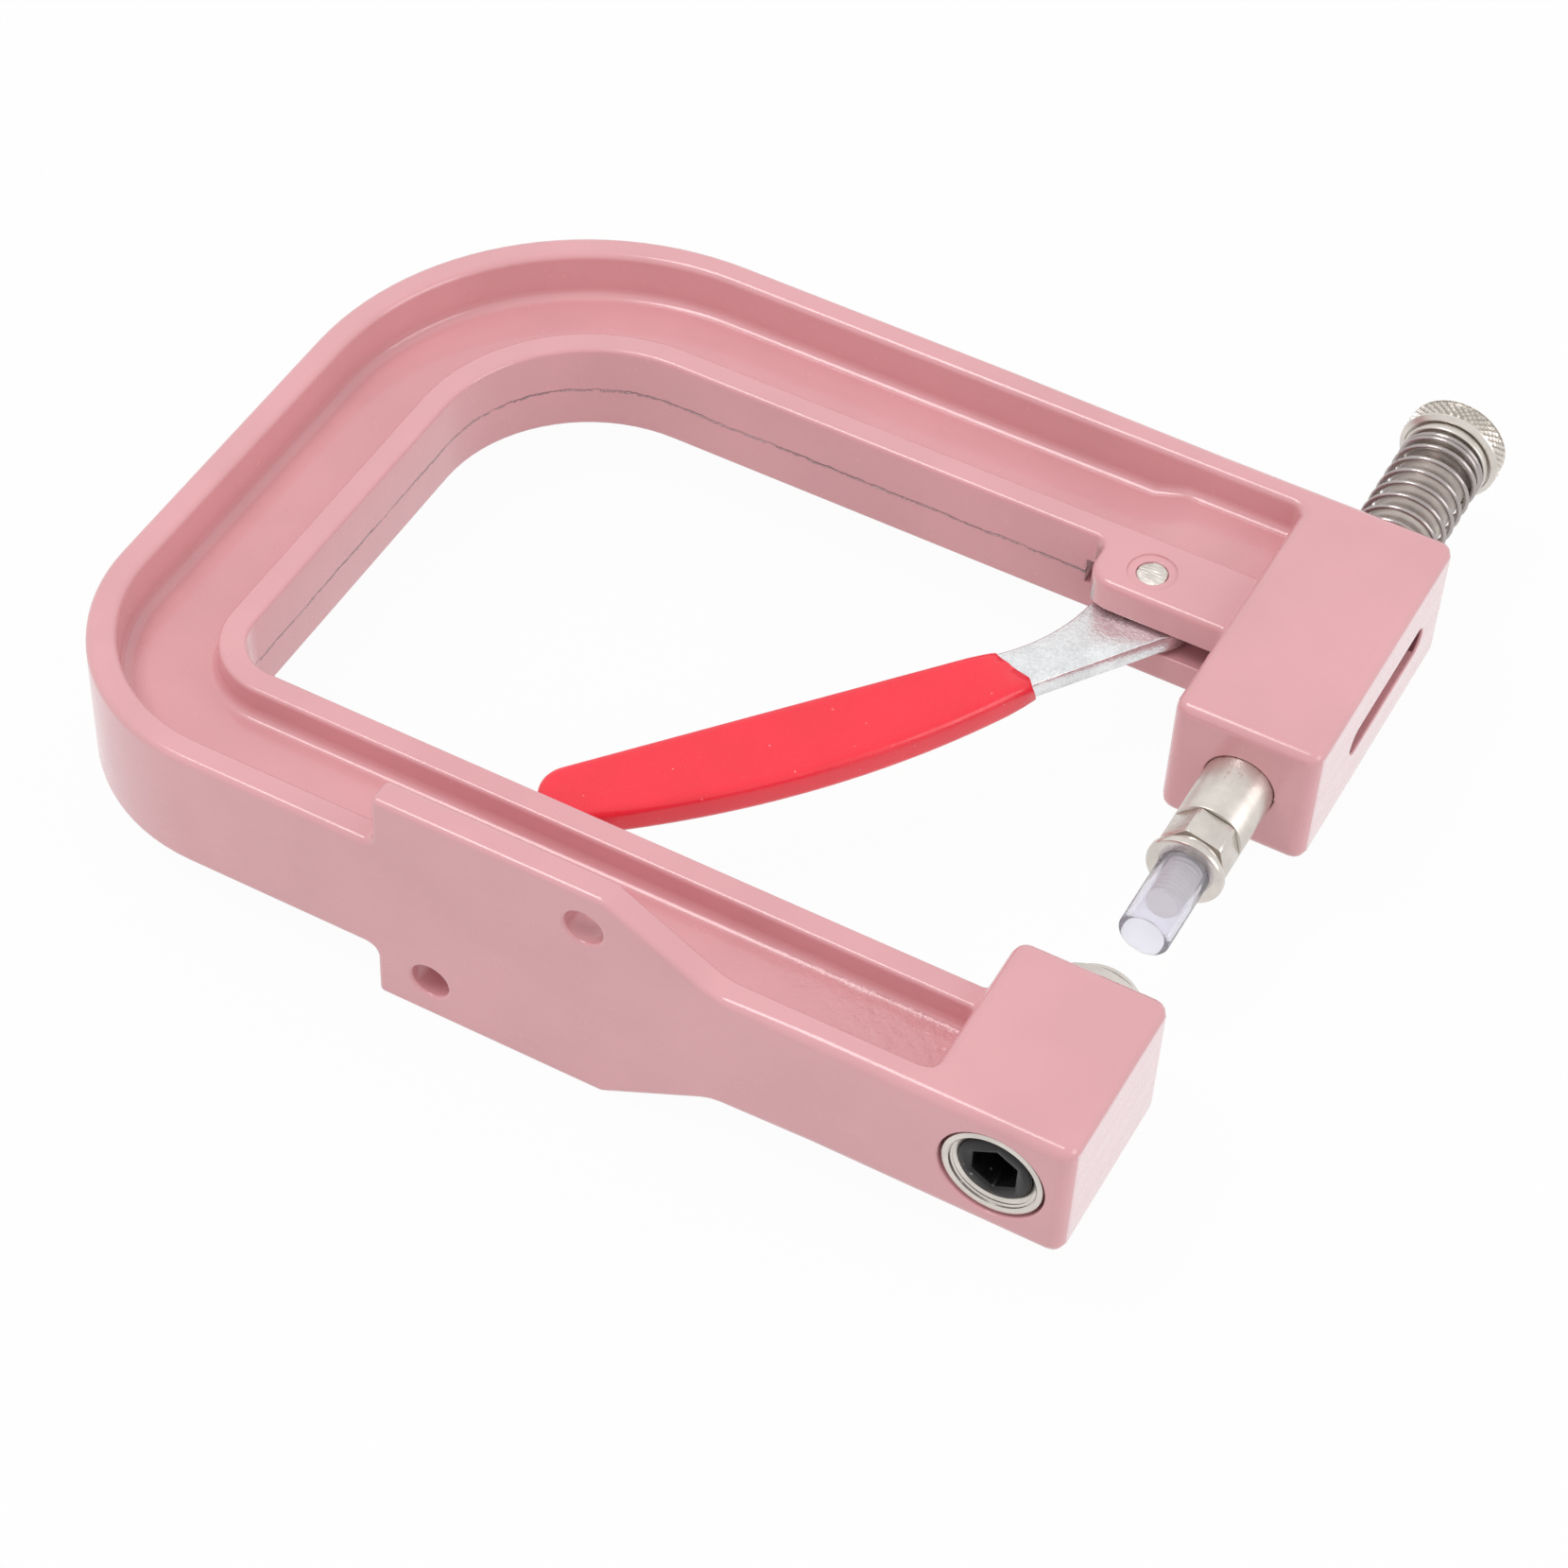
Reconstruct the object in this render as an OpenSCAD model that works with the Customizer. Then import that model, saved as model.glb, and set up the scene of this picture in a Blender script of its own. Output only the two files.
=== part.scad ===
// Hand press for setting pearls: a cast C frame with a screw-down foot, a hand lever that drives a
// sprung plunger through a window, a clear pearl holder on the plunger and an anvil opposite it.
//
// The frame lies on its side: +X runs along the arms to the open jaws, +Y along the plunger from
// the foot up to the knurled cap, and Z is the thickness. The origin is on the foot's mounting
// face, midway between its two screw holes, in the frame's middle plane.

/* [Frame] */
// Height of the frame, from the foot's mounting face to the top of the head
frame_h = 120.7; // [112:0.1:135]
// Thickness of the outer rims and of both jaw blocks
frame_t = 20.6; // [18:0.1:24]
// Width of the curved band, from its outer face to the throat
band_w = 21.2; // [19:0.1:23]
// Thickness of each rim wall
rim_t = 4.1; // [3:0.1:5]
// Width across the throat rims and the pivot lug
throat_rim_w = 14.5; // [12:0.1:17]
// Thickness of the web between the rims
web_t = 5; // [4:0.1:6]
// From the middle of the foot back to the frame's spine
back_reach = 76; // [70:0.5:90]
// Outer radius of the frame's corner by the handle's end of the throat
top_corner_r = 44.5; // [38:0.5:50]
// Outer radius of the frame's corner by the foot
bottom_corner_r = 27.8; // [24:0.2:32]

/* [Jaws] */
// From the middle of the foot forward to the plunger's axis
reach = 68.8; // [62:0.2:80]
// Length of each jaw block along the arms
jaw_l = 21.2; // [18:0.2:25]
// From the plunger's axis to the front faces
jaw_front = 10.4; // [9:0.1:12]
// Height of the head block
head_h = 47; // [43:0.5:52]
// Height of the anvil block
anvil_block_h = 28.2; // [24:0.2:32]

/* [Foot] */
// Width of the foot's flange
foot_w = 38; // [32:0.5:48]
// From the middle of the foot to the flange's square end
foot_back_l = 19.4; // [17:0.1:25]
// From the middle of the foot to where the flange starts to narrow
foot_front_l = 14.3; // [14:0.1:18]
// Length over which the flange narrows to the rim
foot_taper_l = 15.6; // [10:0.2:20]
// Diameter of the two screw holes
foot_hole_d = 5.5; // [4:0.1:6.5]
// Distance between the screw holes along the arms
foot_hole_dx = 22.8; // [16:0.2:26]
// Distance between the screw holes across the frame
foot_hole_dz = 24.6; // [22:0.2:28]

/* [Lever seat] */
// From the plunger's axis back to the pivot
arm_back = 24.3; // [22:0.1:25]
// From the frame's top down to the pivot
pivot_drop = 23.5; // [20:0.1:26]
// Diameter of the pivot pin
pivot_pin_d = 4.5; // [3:0.1:6]
// Length of the pivot lug behind the head block
lug_l = 21.5; // [19:0.1:24]
// How far the lug hangs below the throat rim
lug_drop = 7.5; // [5:0.1:9]
// Radius of the lug's free corner
lug_corner_r = 4; // [1:0.5:5]
// Width of the lever's slot
slot_w = 4.3; // [3.8:0.1:5]
// From the frame's top down to the slot's upper end
slot_top_drop = 8.6; // [7:0.1:8.8]
// Height of the slot's opening in the front face
slot_h = 24.9; // [22:0.1:26]
// From the pivot back to the slot's closed end
slot_back = 10.5; // [9:0.1:12]
// Thickness of the web where the slot passes through it
slot_web_t = 8.6; // [7:0.1:12]
// Length over which the web thickens towards the slot
slot_web_ramp = 5; // [2:0.5:8]
// Diameter of the shallow facing around each end of the pivot pin
facing_d = 7; // [6.5:0.1:9]
// Depth of that facing
facing_depth = 0.3; // [0.1:0.1:0.6]

/* [Lever] */
// Thickness of the lever's plate
lever_t = 3; // [2.5:0.1:3.4]
// Radius of the plate around the pivot
lever_eye_r = 7.2; // [6:0.1:8]
// Angle of the handle below the arms' line at rest
handle_angle = 50.3; // [48:0.1:52]
// Gap between the handle's round end and the lower arm at rest
handle_gap = 1.15; // [0.5:0.05:12]
// How far the handle's back edge stands forward of the pivot
handle_offset = 1.5; // [1:0.1:3.5]
// Width of the grip at its widest
grip_w = 12.5; // [10:0.1:14]
// Radius of the grip's bowed front edge
grip_bow_r = 142; // [120:1:200]
// From the widest place of the grip on to the centre of its round end
grip_wide_back = 29.5; // [20:0.1:36]
// Radius of the grip's round end
grip_end_r = 4.7; // [4:0.05:5]
// Thickness of the dipped grip
grip_t = 5; // [4.6:0.1:7]
// Thickness of the dipped skin around the plate's edge
grip_skin = 0.5; // [0.4:0.1:1.4]
// From the pivot to the grip's upper end
grip_from = 22.5; // [18:0.5:30]
// Radius of the hollow in the plate's back edge, between grip and pivot
hollow_r = 28.3; // [26:0.1:40]
// From the grip's upper end on to the middle of that hollow's circle
hollow_u = 0.3; // [0:0.1:4]
// From the pivot to the centre of the lever's nose
arm_l = 25.4; // [24.6:0.1:26]
// Angle of the short arm above the arms' line at rest
arm_angle = 24.5; // [22:0.1:25]
// Radius of the nose that drives the plunger
nose_r = 3.6; // [3:0.1:3.7]
// Width of the neck behind the nose
nose_neck = 4.3; // [3.5:0.1:4.5]

/* [Plunger] */
// Diameter of the plunger's shaft
shaft_d = 10; // [9:0.1:11]
// Length of shaft showing below the head
shaft_below = 10; // [6:0.1:14]
// Length of the return spring at rest
spring_l = 24.1; // [20:0.1:30]
// Outer diameter of the return spring
spring_d = 12.6; // [12.4:0.1:14]
// Diameter of the spring's wire
spring_wire = 0.8; // [0.7:0.05:1.1]
// Turns that stand apart
spring_open_turns = 8.25; // [6:0.25:9]
// Turns that lie close at the cap
spring_closed_turns = 2; // [1:0.5:3]
// Thickness of the washer between spring and cap
washer_t = 1.4; // [1:0.1:2]
// Diameter of the washer
washer_d = 12.8; // [12.6:0.1:14]
// Diameter of the knurled cap
cap_d = 15; // [13:0.1:18]
// Height of the knurled cap
cap_h = 4.3; // [4:0.1:8]
// Bevel on the cap's edges
cap_bevel = 0.5; // [0.2:0.1:0.8]
// Diameter of the shaft's threaded ends and of the die holder's spigot
thread_d = 6; // [5:0.5:6.5]
// Length of thread inside the cap
cap_thread_l = 3; // [2:0.1:3.2]

/* [Pearl holder] */
// Height of the die holder's spanner flats
flats_h = 4.7; // [3:0.1:6]
// Width across the spanner flats
flats_w = 8.9; // [8.2:0.1:9.4]
// How far the flats are turned about the plunger's axis
flats_turn = 15; // [0:1:30]
// Diameter of the neck below the flats
holder_neck_d = 8; // [7.8:0.1:8.4]
// Height of the neck
holder_neck_h = 1.4; // [1:0.1:2]
// Length of the spigot that screws into the shaft
spigot_l = 8; // [6:0.5:10]
// Diameter of the collar that grips the clear tube
collar_d = 11; // [10:0.1:12]
// Height of the collar
collar_h = 1.3; // [1:0.1:2]
// Outer diameter of the clear tube
tube_d = 7.2; // [6.8:0.1:7.4]
// Wall of the clear tube
tube_wall = 0.8; // [0.6:0.1:0.9]
// Length of tube showing below the collar
tube_l = 12.3; // [10:0.1:14]
// Depth of the tube's seat in the neck
tube_seat = 1; // [0.5:0.1:1.3]
// Diameter of the threaded punch stem
punch_d = 5; // [4:0.1:5.1]
// How far the punch's end lies above the tube's mouth
punch_setback = 6; // [4:0.1:8]
// Length of punch screwed into the holder
punch_grip_l = 9; // [6:0.5:11]

/* [Anvil] */
// Outer diameter of the anvil sleeve
sleeve_d = 14.5; // [13:0.1:16]
// How far the sleeve stands above its block
sleeve_rise = 2.9; // [1:0.1:4]
// How far the sleeve's lower end lies inside the block
sleeve_recess = 0.3; // [0.1:0.1:1]
// Bore of the sleeve, a M10 thread
sleeve_bore_d = 10.1; // [9.5:0.1:10.3]
// How far the anvil die stands above the sleeve
die_rise = 2.4; // [1:0.1:3]
// Height of the anvil die
die_h = 14; // [12:0.5:15]
// Depth of the cup in the die's top
cup_depth = 0.8; // [0.4:0.1:1.2]
// Diameter of the cup
cup_d = 6; // [4:0.1:8]
// How far the set screw's lower end lies inside the foot's mounting face
set_screw_recess = 1; // [0.5:0.1:5]
// Width across the set screw's hex socket
set_socket_w = 6; // [4:0.5:6.5]
// Depth of that socket
set_socket_depth = 6; // [3:0.5:7]
// Diameter of the centring pin
pin_d = 2; // [1.6:0.1:2.4]
// How far the centring pin stands above the anvil
pin_rise = 1.2; // [0.8:0.1:1.3]
// Diameter of the centring pin's shoulder
pin_shoulder_d = 4.4; // [3.6:0.1:4.8]
// Thickness of the centring pin's shoulder
pin_shoulder_t = 1; // [0.8:0.1:1.4]
// From the anvil's top down to the spring's chamber
chamber_below = 5; // [3:0.5:6]
// Diameter of the wire of the centring pin's spring
pin_spring_wire = 0.4; // [0.3:0.05:0.5]

/* [Fits] */
// Gap around the shaft and the sleeve in their bores
bore_gap = 0.08; // [0.05:0.01:0.1]
// Gap around the pivot pin in the lever
pivot_gap = 0.06; // [0.03:0.01:0.1]
// Gap around the pivot pin in the lug
press_gap = 0.02; // [0.01:0.01:0.03]
// Gap around parts that screw together
thread_gap = 0.05; // [0.03:0.01:0.1]
// Free play of the nose in the plunger's window
window_gap = 0.3; // [0.25:0.01:0.4]
// Gap between a spring's end and its seat
seat_gap = 0.05; // [0.02:0.01:0.1]

/* [Hidden] */
$fn = 96;
// How far a cut runs past the face it opens
past = 1;

back_x = -back_reach;
front_x = reach + jaw_front;
jaw_x = front_x - jaw_l;
throat_top = frame_h - band_w;
head_y = frame_h - head_h;
pivot_x = reach - arm_back;
pivot_y = frame_h - pivot_drop;
lug_x = jaw_x - lug_l;
lug_y = throat_top - lug_drop;
slot_y = frame_h - slot_top_drop;
slot_x = pivot_x - slot_back;

nose_y = pivot_y + arm_l * sin(arm_angle);
// Nearly all of the neck lies above the nose's line, to clear the window's lower edge at rest
neck_below = 0.4 * nose_neck;
neck_from = 0.65 * arm_l;
// How far the centre of the handle's round end stands forward of the pivot
grip_end_v = handle_offset + grip_end_r;
// The handle is as long as the throat lets it be at rest
handle_l = (pivot_y - band_w - handle_gap - grip_end_r - grip_end_v * cos(handle_angle))
    / sin(handle_angle);
grip_wide_at = handle_l - grip_wide_back;
// The plate's root ends a little inside the handle's outline
root_step = 0.2;

shaft_y = head_y - shaft_below;
washer_y = frame_h + spring_l;
cap_y = washer_y + washer_t;
flats_y = shaft_y - flats_h;
neck_y = flats_y - holder_neck_h;
collar_y = neck_y - collar_h;
tube_y = collar_y - tube_l;
punch_y = tube_y + punch_setback;

sleeve_y = anvil_block_h + sleeve_rise;
anvil_y = sleeve_y + die_rise;
die_y = anvil_y - die_h;
chamber_top = anvil_y - chamber_below;

// ---- Shapes used more than once ----

// A rod along the plunger's axis, from one height to another
module axis_rod(d, from_y, to_y) {
    translate([reach, from_y, 0]) rotate([-90, 0, 0]) cylinder(d = d, h = to_y - from_y);
}

// A ring along the plunger's axis
module axis_ring(d, bore, from_y, to_y) {
    difference() {
        axis_rod(d, from_y, to_y);
        axis_rod(bore, from_y - past, to_y + past);
    }
}

// A flat outline in X and Z, as thick as the span of Y
module slab_y(from_y, to_y) {
    translate([0, to_y, 0]) rotate([90, 0, 0]) linear_extrude(to_y - from_y) children();
}

// The area that the frame's outline closes off, a distance in from it, open towards the jaws
module inside_outline(inset) {
    run_x = jaw_x + jaw_l / 2;
    top_y = frame_h - top_corner_r;
    translate([back_x + inset, bottom_corner_r]) square([run_x - back_x - inset, top_y - bottom_corner_r]);
    translate([back_x + bottom_corner_r, inset])
        square([run_x - back_x - bottom_corner_r, top_y - inset]);
    translate([back_x + top_corner_r, inset])
        square([run_x - back_x - top_corner_r, frame_h - 2 * inset]);
    translate([back_x + bottom_corner_r, bottom_corner_r]) circle(bottom_corner_r - inset);
    translate([back_x + top_corner_r, top_y]) circle(top_corner_r - inset);
}

// Part of the band that follows the frame's outline, between two distances in from it
module band(from, to, thickness) {
    linear_extrude(thickness, center = true) difference() {
        inside_outline(from);
        inside_outline(to);
    }
}

// A coil of round wire about the plunger's axis: closed turns at the top, and open ones below
module coil(mean_r, wire, from_y, to_y, open_turns, closed_turns) {
    sides = 6;
    steps = 14;
    turns = open_turns + closed_turns;
    rings = ceil(turns * steps);
    bottom = from_y + wire / 2;
    closed_rise = closed_turns * wire * 1.06;
    open_rise = to_y - from_y - wire - closed_rise;
    rise = function(t) t < open_turns ? open_rise * t / open_turns
        : open_rise + closed_rise * (t - open_turns) / closed_turns;
    points = [for (i = [0 : rings]) let (t = turns * i / rings, a = 360 * t)
        for (j = [0 : sides - 1]) let (b = 360 * j / sides, r = mean_r + wire / 2 * cos(b))
            [reach + r * cos(a), bottom + rise(t) + wire / 2 * sin(b), r * sin(a)]];
    tube_faces = [for (i = [0 : rings - 1]) for (j = [0 : sides - 1]) let (k = (j + 1) % sides)
        [i * sides + j, i * sides + k, (i + 1) * sides + k, (i + 1) * sides + j]];
    first_end = [for (j = [sides - 1 : -1 : 0]) j];
    last_end = [for (j = [0 : sides - 1]) rings * sides + j];
    polyhedron(points, concat(tube_faces, [first_end, last_end]), convexity = 20);
}

// ---- Frame ----

// The foot's flange: square behind, narrowing to the rim in front
module foot_outline() {
    polygon([
        [-foot_back_l, -foot_w / 2],
        [foot_front_l, -foot_w / 2],
        [foot_front_l + foot_taper_l, -frame_t / 2],
        [foot_front_l + foot_taper_l, frame_t / 2],
        [foot_front_l, foot_w / 2],
        [-foot_back_l, foot_w / 2]
    ]);
}

// The lug that carries the pivot pin, rounded at its free corner
module pivot_lug() {
    height = throat_top + rim_t - lug_y;
    linear_extrude(throat_rim_w, center = true) {
        translate([lug_x + lug_corner_r, lug_y]) square([lug_l + past - lug_corner_r, height]);
        translate([lug_x, lug_y + lug_corner_r]) square([lug_l + past, height - lug_corner_r]);
        translate([lug_x + lug_corner_r, lug_y + lug_corner_r]) circle(lug_corner_r);
    }
}

// The web grows thicker before it meets the head, so that the lever's slot leaves two walls
module slot_web() {
    ramp_x = slot_x + slot_back / 4;
    slab_y(throat_top + rim_t / 2, frame_h - rim_t / 2)
        polygon([
            [ramp_x, -web_t / 2],
            [ramp_x + slot_web_ramp, -slot_web_t / 2],
            [jaw_x + past, -slot_web_t / 2],
            [jaw_x + past, slot_web_t / 2],
            [ramp_x + slot_web_ramp, slot_web_t / 2],
            [ramp_x, web_t / 2]
        ]);
}

// The lever's slot: round-ended through the head block, and open below through the lug
module lever_slot() {
    radius = slot_w / 2;
    translate([slot_x, slot_y - slot_h + radius, -radius])
        cube([front_x + past - slot_x, slot_h - slot_w, slot_w]);
    for (y = [slot_y - slot_h + radius, slot_y - radius])
        translate([slot_x, y, 0]) rotate([0, 90, 0]) cylinder(r = radius, h = front_x + past - slot_x);
    translate([slot_x, lug_y - past, -radius])
        cube([jaw_x - slot_x, slot_y - radius - lug_y + past, slot_w]);
}

module foot_holes() {
    for (side = [-1, 1])
        translate([side * foot_hole_dx / 2, -past, side * foot_hole_dz / 2])
            rotate([-90, 0, 0]) cylinder(d = foot_hole_d, h = rim_t + 2 * past);
}

module pivot_bore() {
    translate([pivot_x, pivot_y, 0]) {
        cylinder(d = pivot_pin_d + 2 * press_gap, h = throat_rim_w + 2 * past, center = true);
        for (side = [0, 1])
            mirror([0, 0, side])
                translate([0, 0, throat_rim_w / 2 - facing_depth])
                    cylinder(d = facing_d, h = facing_depth + past);
    }
}

module frame() {
    color("pink") difference() {
        union() {
            band(0, rim_t, frame_t);
            band(band_w - rim_t, band_w, throat_rim_w);
            band(rim_t / 2, band_w - rim_t / 2, web_t);
            slot_web();
            pivot_lug();
            translate([jaw_x, head_y, -frame_t / 2]) cube([jaw_l, head_h, frame_t]);
            translate([jaw_x, 0, -frame_t / 2]) cube([jaw_l, anvil_block_h, frame_t]);
            slab_y(0, rim_t) foot_outline();
        }
        axis_rod(shaft_d + 2 * bore_gap, head_y - past, frame_h + past);
        axis_rod(sleeve_d + 2 * bore_gap, -past, anvil_block_h + past);
        lever_slot();
        foot_holes();
        pivot_bore();
    }
}

module pivot_pin() {
    color("silver") translate([pivot_x, pivot_y, 0])
        cylinder(d = pivot_pin_d, h = throat_rim_w - 2 * facing_depth, center = true);
}

// ---- Lever ----

// The handle's outline along its own length: a straight back, a bowed front and a round end
module handle_outline(skin, from) {
    bow_v = handle_offset + grip_w - grip_bow_r;
    intersection() {
        translate([grip_wide_at, bow_v]) circle(grip_bow_r - skin, $fn = 360);
        translate([from, handle_offset + skin]) square([handle_l - from, 2 * grip_w]);
    }
    translate([handle_l, handle_offset + grip_end_r]) circle(grip_end_r - skin);
}

// The plate between the pivot and the handle, hollowed behind, with its far end inside the handle
module lever_root_outline() {
    front_drop = pow(grip_wide_at - grip_from, 2) / (2 * grip_bow_r);
    front_v = handle_offset + grip_w - front_drop - grip_skin;
    back_v = handle_offset + grip_skin;
    end_u = grip_from + 3 * past;
    eye_r = 0.97 * lever_eye_r;
    difference() {
        polygon([
            [0, eye_r],
            [end_u, front_v - root_step],
            [end_u, back_v + root_step],
            [eye_r * cos(40), -eye_r * sin(40)]
        ]);
        translate([grip_from + hollow_u, back_v - sqrt(pow(hollow_r, 2) - pow(hollow_u, 2))])
            circle(hollow_r, $fn = 360);
    }
}

// The short arm that reaches into the plunger's window, with its round nose
module arm_outline() {
    polygon([
        [0, -lever_eye_r * 0.8],
        [neck_from, -neck_below],
        [arm_l, -neck_below],
        [arm_l, nose_neck - neck_below],
        [neck_from, nose_neck - neck_below],
        [0, lever_eye_r * 0.8]
    ]);
    translate([arm_l, 0]) circle(nose_r);
}

module lever_blade_plate() {
    union() {
        cylinder(r = lever_eye_r, h = lever_t, center = true);
        linear_extrude(lever_t, center = true) rotate(arm_angle) arm_outline();
        linear_extrude(lever_t, center = true) rotate(180 + handle_angle) lever_root_outline();
        linear_extrude(lever_t, center = true) rotate(180 + handle_angle)
            handle_outline(grip_skin, grip_from + past);
    }
}

module lever_blade() {
    color("gainsboro") translate([pivot_x, pivot_y, 0]) difference() {
        lever_blade_plate();
        cylinder(d = pivot_pin_d + 2 * pivot_gap, h = lever_t + past, center = true);
    }
}

module lever_grip() {
    color("crimson") translate([pivot_x, pivot_y, 0]) difference() {
        linear_extrude(grip_t, center = true) rotate(180 + handle_angle)
            handle_outline(0, grip_from);
        lever_blade_plate();
    }
}

// ---- Plunger ----

module plunger_shaft() {
    color("silver") difference() {
        union() {
            axis_rod(shaft_d, shaft_y, washer_y);
            axis_rod(thread_d, washer_y - past, cap_y + cap_thread_l);
        }
        axis_rod(thread_d + 2 * thread_gap, shaft_y - past, shaft_y + spigot_l + 2 * thread_gap);
        translate([reach - shaft_d, nose_y - nose_r - window_gap, -slot_w / 2])
            cube([2 * shaft_d, 2 * (nose_r + window_gap), slot_w]);
    }
}

module return_spring() {
    color("dimgray") coil(
        (spring_d - spring_wire) / 2, spring_wire, frame_h + seat_gap, washer_y - seat_gap,
        spring_open_turns, spring_closed_turns
    );
}

module spring_washer() {
    color("silver") axis_ring(washer_d, thread_d + 2 * thread_gap, washer_y, cap_y);
}

module knurled_cap() {
    color("silver") difference() {
        translate([reach, cap_y, 0]) rotate([-90, 0, 0]) rotate_extrude() polygon([
            [0, 0],
            [cap_d / 2 - cap_bevel, 0],
            [cap_d / 2, cap_bevel],
            [cap_d / 2, cap_h - cap_bevel],
            [cap_d / 2 - cap_bevel, cap_h],
            [0, cap_h]
        ]);
        axis_rod(thread_d + 2 * thread_gap, cap_y - past, cap_y + cap_thread_l + 2 * thread_gap);
    }
}

// ---- Pearl holder ----

module die_holder() {
    color("silver") difference() {
        union() {
            intersection() {
                translate([reach, flats_y, 0]) rotate([-90, 0, 0]) rotate(flats_turn)
                    cylinder(r = flats_w / 2 / cos(30), h = flats_h, $fn = 6);
                axis_rod(shaft_d, flats_y, shaft_y);
            }
            axis_rod(holder_neck_d, neck_y, flats_y + past);
            axis_rod(thread_d, shaft_y - past, shaft_y + spigot_l);
        }
        axis_rod(tube_d, neck_y - past, neck_y + tube_seat);
        axis_rod(punch_d + 2 * thread_gap, neck_y - past, neck_y + punch_grip_l + thread_gap);
    }
}

module tube_collar() {
    color("silver") axis_ring(collar_d, tube_d, collar_y, neck_y);
}

module pearl_tube() {
    color("whitesmoke", 0.5) axis_ring(tube_d, tube_d - 2 * tube_wall, tube_y, neck_y + tube_seat);
}

module punch_stem() {
    color("gray") axis_rod(punch_d, punch_y, neck_y + punch_grip_l);
}

// ---- Anvil ----

module anvil_sleeve() {
    color("silver") axis_ring(sleeve_d, sleeve_bore_d, sleeve_recess, sleeve_y);
}

module anvil_die() {
    color("gray") difference() {
        axis_rod(sleeve_bore_d - 2 * thread_gap, die_y, anvil_y);
        translate([reach, anvil_y - cup_depth, 0]) rotate([-90, 0, 0])
            cylinder(d1 = cup_d / 2, d2 = cup_d, h = cup_depth + thread_gap);
        axis_rod(pin_d + 2 * thread_gap, die_y - past, anvil_y + past);
        axis_rod(pin_shoulder_d + 2 * thread_gap, die_y - past, chamber_top);
    }
}

module centring_pin() {
    shoulder_top = chamber_top - seat_gap;
    color("silver") {
        axis_rod(pin_d, shoulder_top - pin_shoulder_t, anvil_y + pin_rise);
        axis_rod(pin_shoulder_d, shoulder_top - pin_shoulder_t, shoulder_top);
    }
}

module pin_spring() {
    color("dimgray") coil(
        (pin_shoulder_d - pin_spring_wire) / 2 - thread_gap, pin_spring_wire, die_y + seat_gap,
        chamber_top - pin_shoulder_t - 2 * seat_gap, 5, 1
    );
}

module set_screw() {
    color("dimgray") difference() {
        axis_rod(sleeve_bore_d - 2 * thread_gap, set_screw_recess, die_y);
        translate([reach, set_screw_recess - past, 0]) rotate([-90, 0, 0]) rotate(30)
            cylinder(r = set_socket_w / 2 / cos(30), h = set_socket_depth + past, $fn = 6);
    }
}

frame();
pivot_pin();
lever_blade();
lever_grip();
plunger_shaft();
return_spring();
spring_washer();
knurled_cap();
die_holder();
tube_collar();
pearl_tube();
punch_stem();
anvil_sleeve();
anvil_die();
centring_pin();
pin_spring();
set_screw();
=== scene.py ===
"""Looks of a hand pearl setting press: its casting, lever, plunger, pearl holder and anvil, laid on a white table.

Meshes are made in millimetres and scaled to metres when a piece is finished. Materials read Object
coordinates, which are in metres.
"""

import math
from functools import reduce

import bmesh
import bpy
from bpy.props import FloatProperty, FloatVectorProperty, IntProperty, PointerProperty
from mathutils import Matrix, Vector, noise


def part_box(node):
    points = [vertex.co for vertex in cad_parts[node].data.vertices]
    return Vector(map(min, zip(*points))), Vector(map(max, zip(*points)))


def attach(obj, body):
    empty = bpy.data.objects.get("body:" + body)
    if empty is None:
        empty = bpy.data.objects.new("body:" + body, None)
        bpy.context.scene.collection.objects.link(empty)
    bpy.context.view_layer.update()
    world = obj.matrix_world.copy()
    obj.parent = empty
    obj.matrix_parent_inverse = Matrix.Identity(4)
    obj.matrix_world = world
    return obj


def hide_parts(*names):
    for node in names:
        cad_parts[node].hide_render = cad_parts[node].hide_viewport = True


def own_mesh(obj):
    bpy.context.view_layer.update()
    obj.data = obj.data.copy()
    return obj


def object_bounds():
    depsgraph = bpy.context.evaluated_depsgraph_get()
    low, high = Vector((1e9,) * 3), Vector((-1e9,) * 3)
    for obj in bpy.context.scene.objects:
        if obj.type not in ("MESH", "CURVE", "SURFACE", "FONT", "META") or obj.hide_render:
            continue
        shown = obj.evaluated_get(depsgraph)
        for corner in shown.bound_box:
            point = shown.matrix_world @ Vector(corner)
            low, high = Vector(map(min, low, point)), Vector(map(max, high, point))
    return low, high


bl_info = {
    "name": "Hand pearl press",
    "version": (1, 0, 0),
    "blender": (4, 5, 0),
    "location": "3D View > Sidebar > Pearl press",
    "description": "Builds a hand pearl setting press round its packed solids",
    "category": "Object",
}

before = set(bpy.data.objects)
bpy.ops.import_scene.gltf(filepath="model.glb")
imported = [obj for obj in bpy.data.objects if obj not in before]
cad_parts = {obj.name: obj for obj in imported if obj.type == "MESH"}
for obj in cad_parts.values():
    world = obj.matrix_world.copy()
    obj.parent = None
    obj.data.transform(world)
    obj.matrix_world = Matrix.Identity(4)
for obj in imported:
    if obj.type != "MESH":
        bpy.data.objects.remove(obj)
SOLIDS_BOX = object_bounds()

MM = 0.001
WHITE = (1, 1, 1, 1)

# Stations of the casting, in millimetres: its jaws, bores, foot holes and the slot for the lever
JAW_LENGTH = 21.2
BORE_GAP = 0.08
FOOT_HOLE_X, FOOT_HOLE_Z = 11.4, 12.3
SLOT_HALF = 2.25


def mm(length):
    """A length in metres, in millimetres."""
    return length / MM


def span(node):
    """Lowest and highest corner of a solid, in millimetres."""
    low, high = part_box(node)
    return low / MM, high / MM


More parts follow.
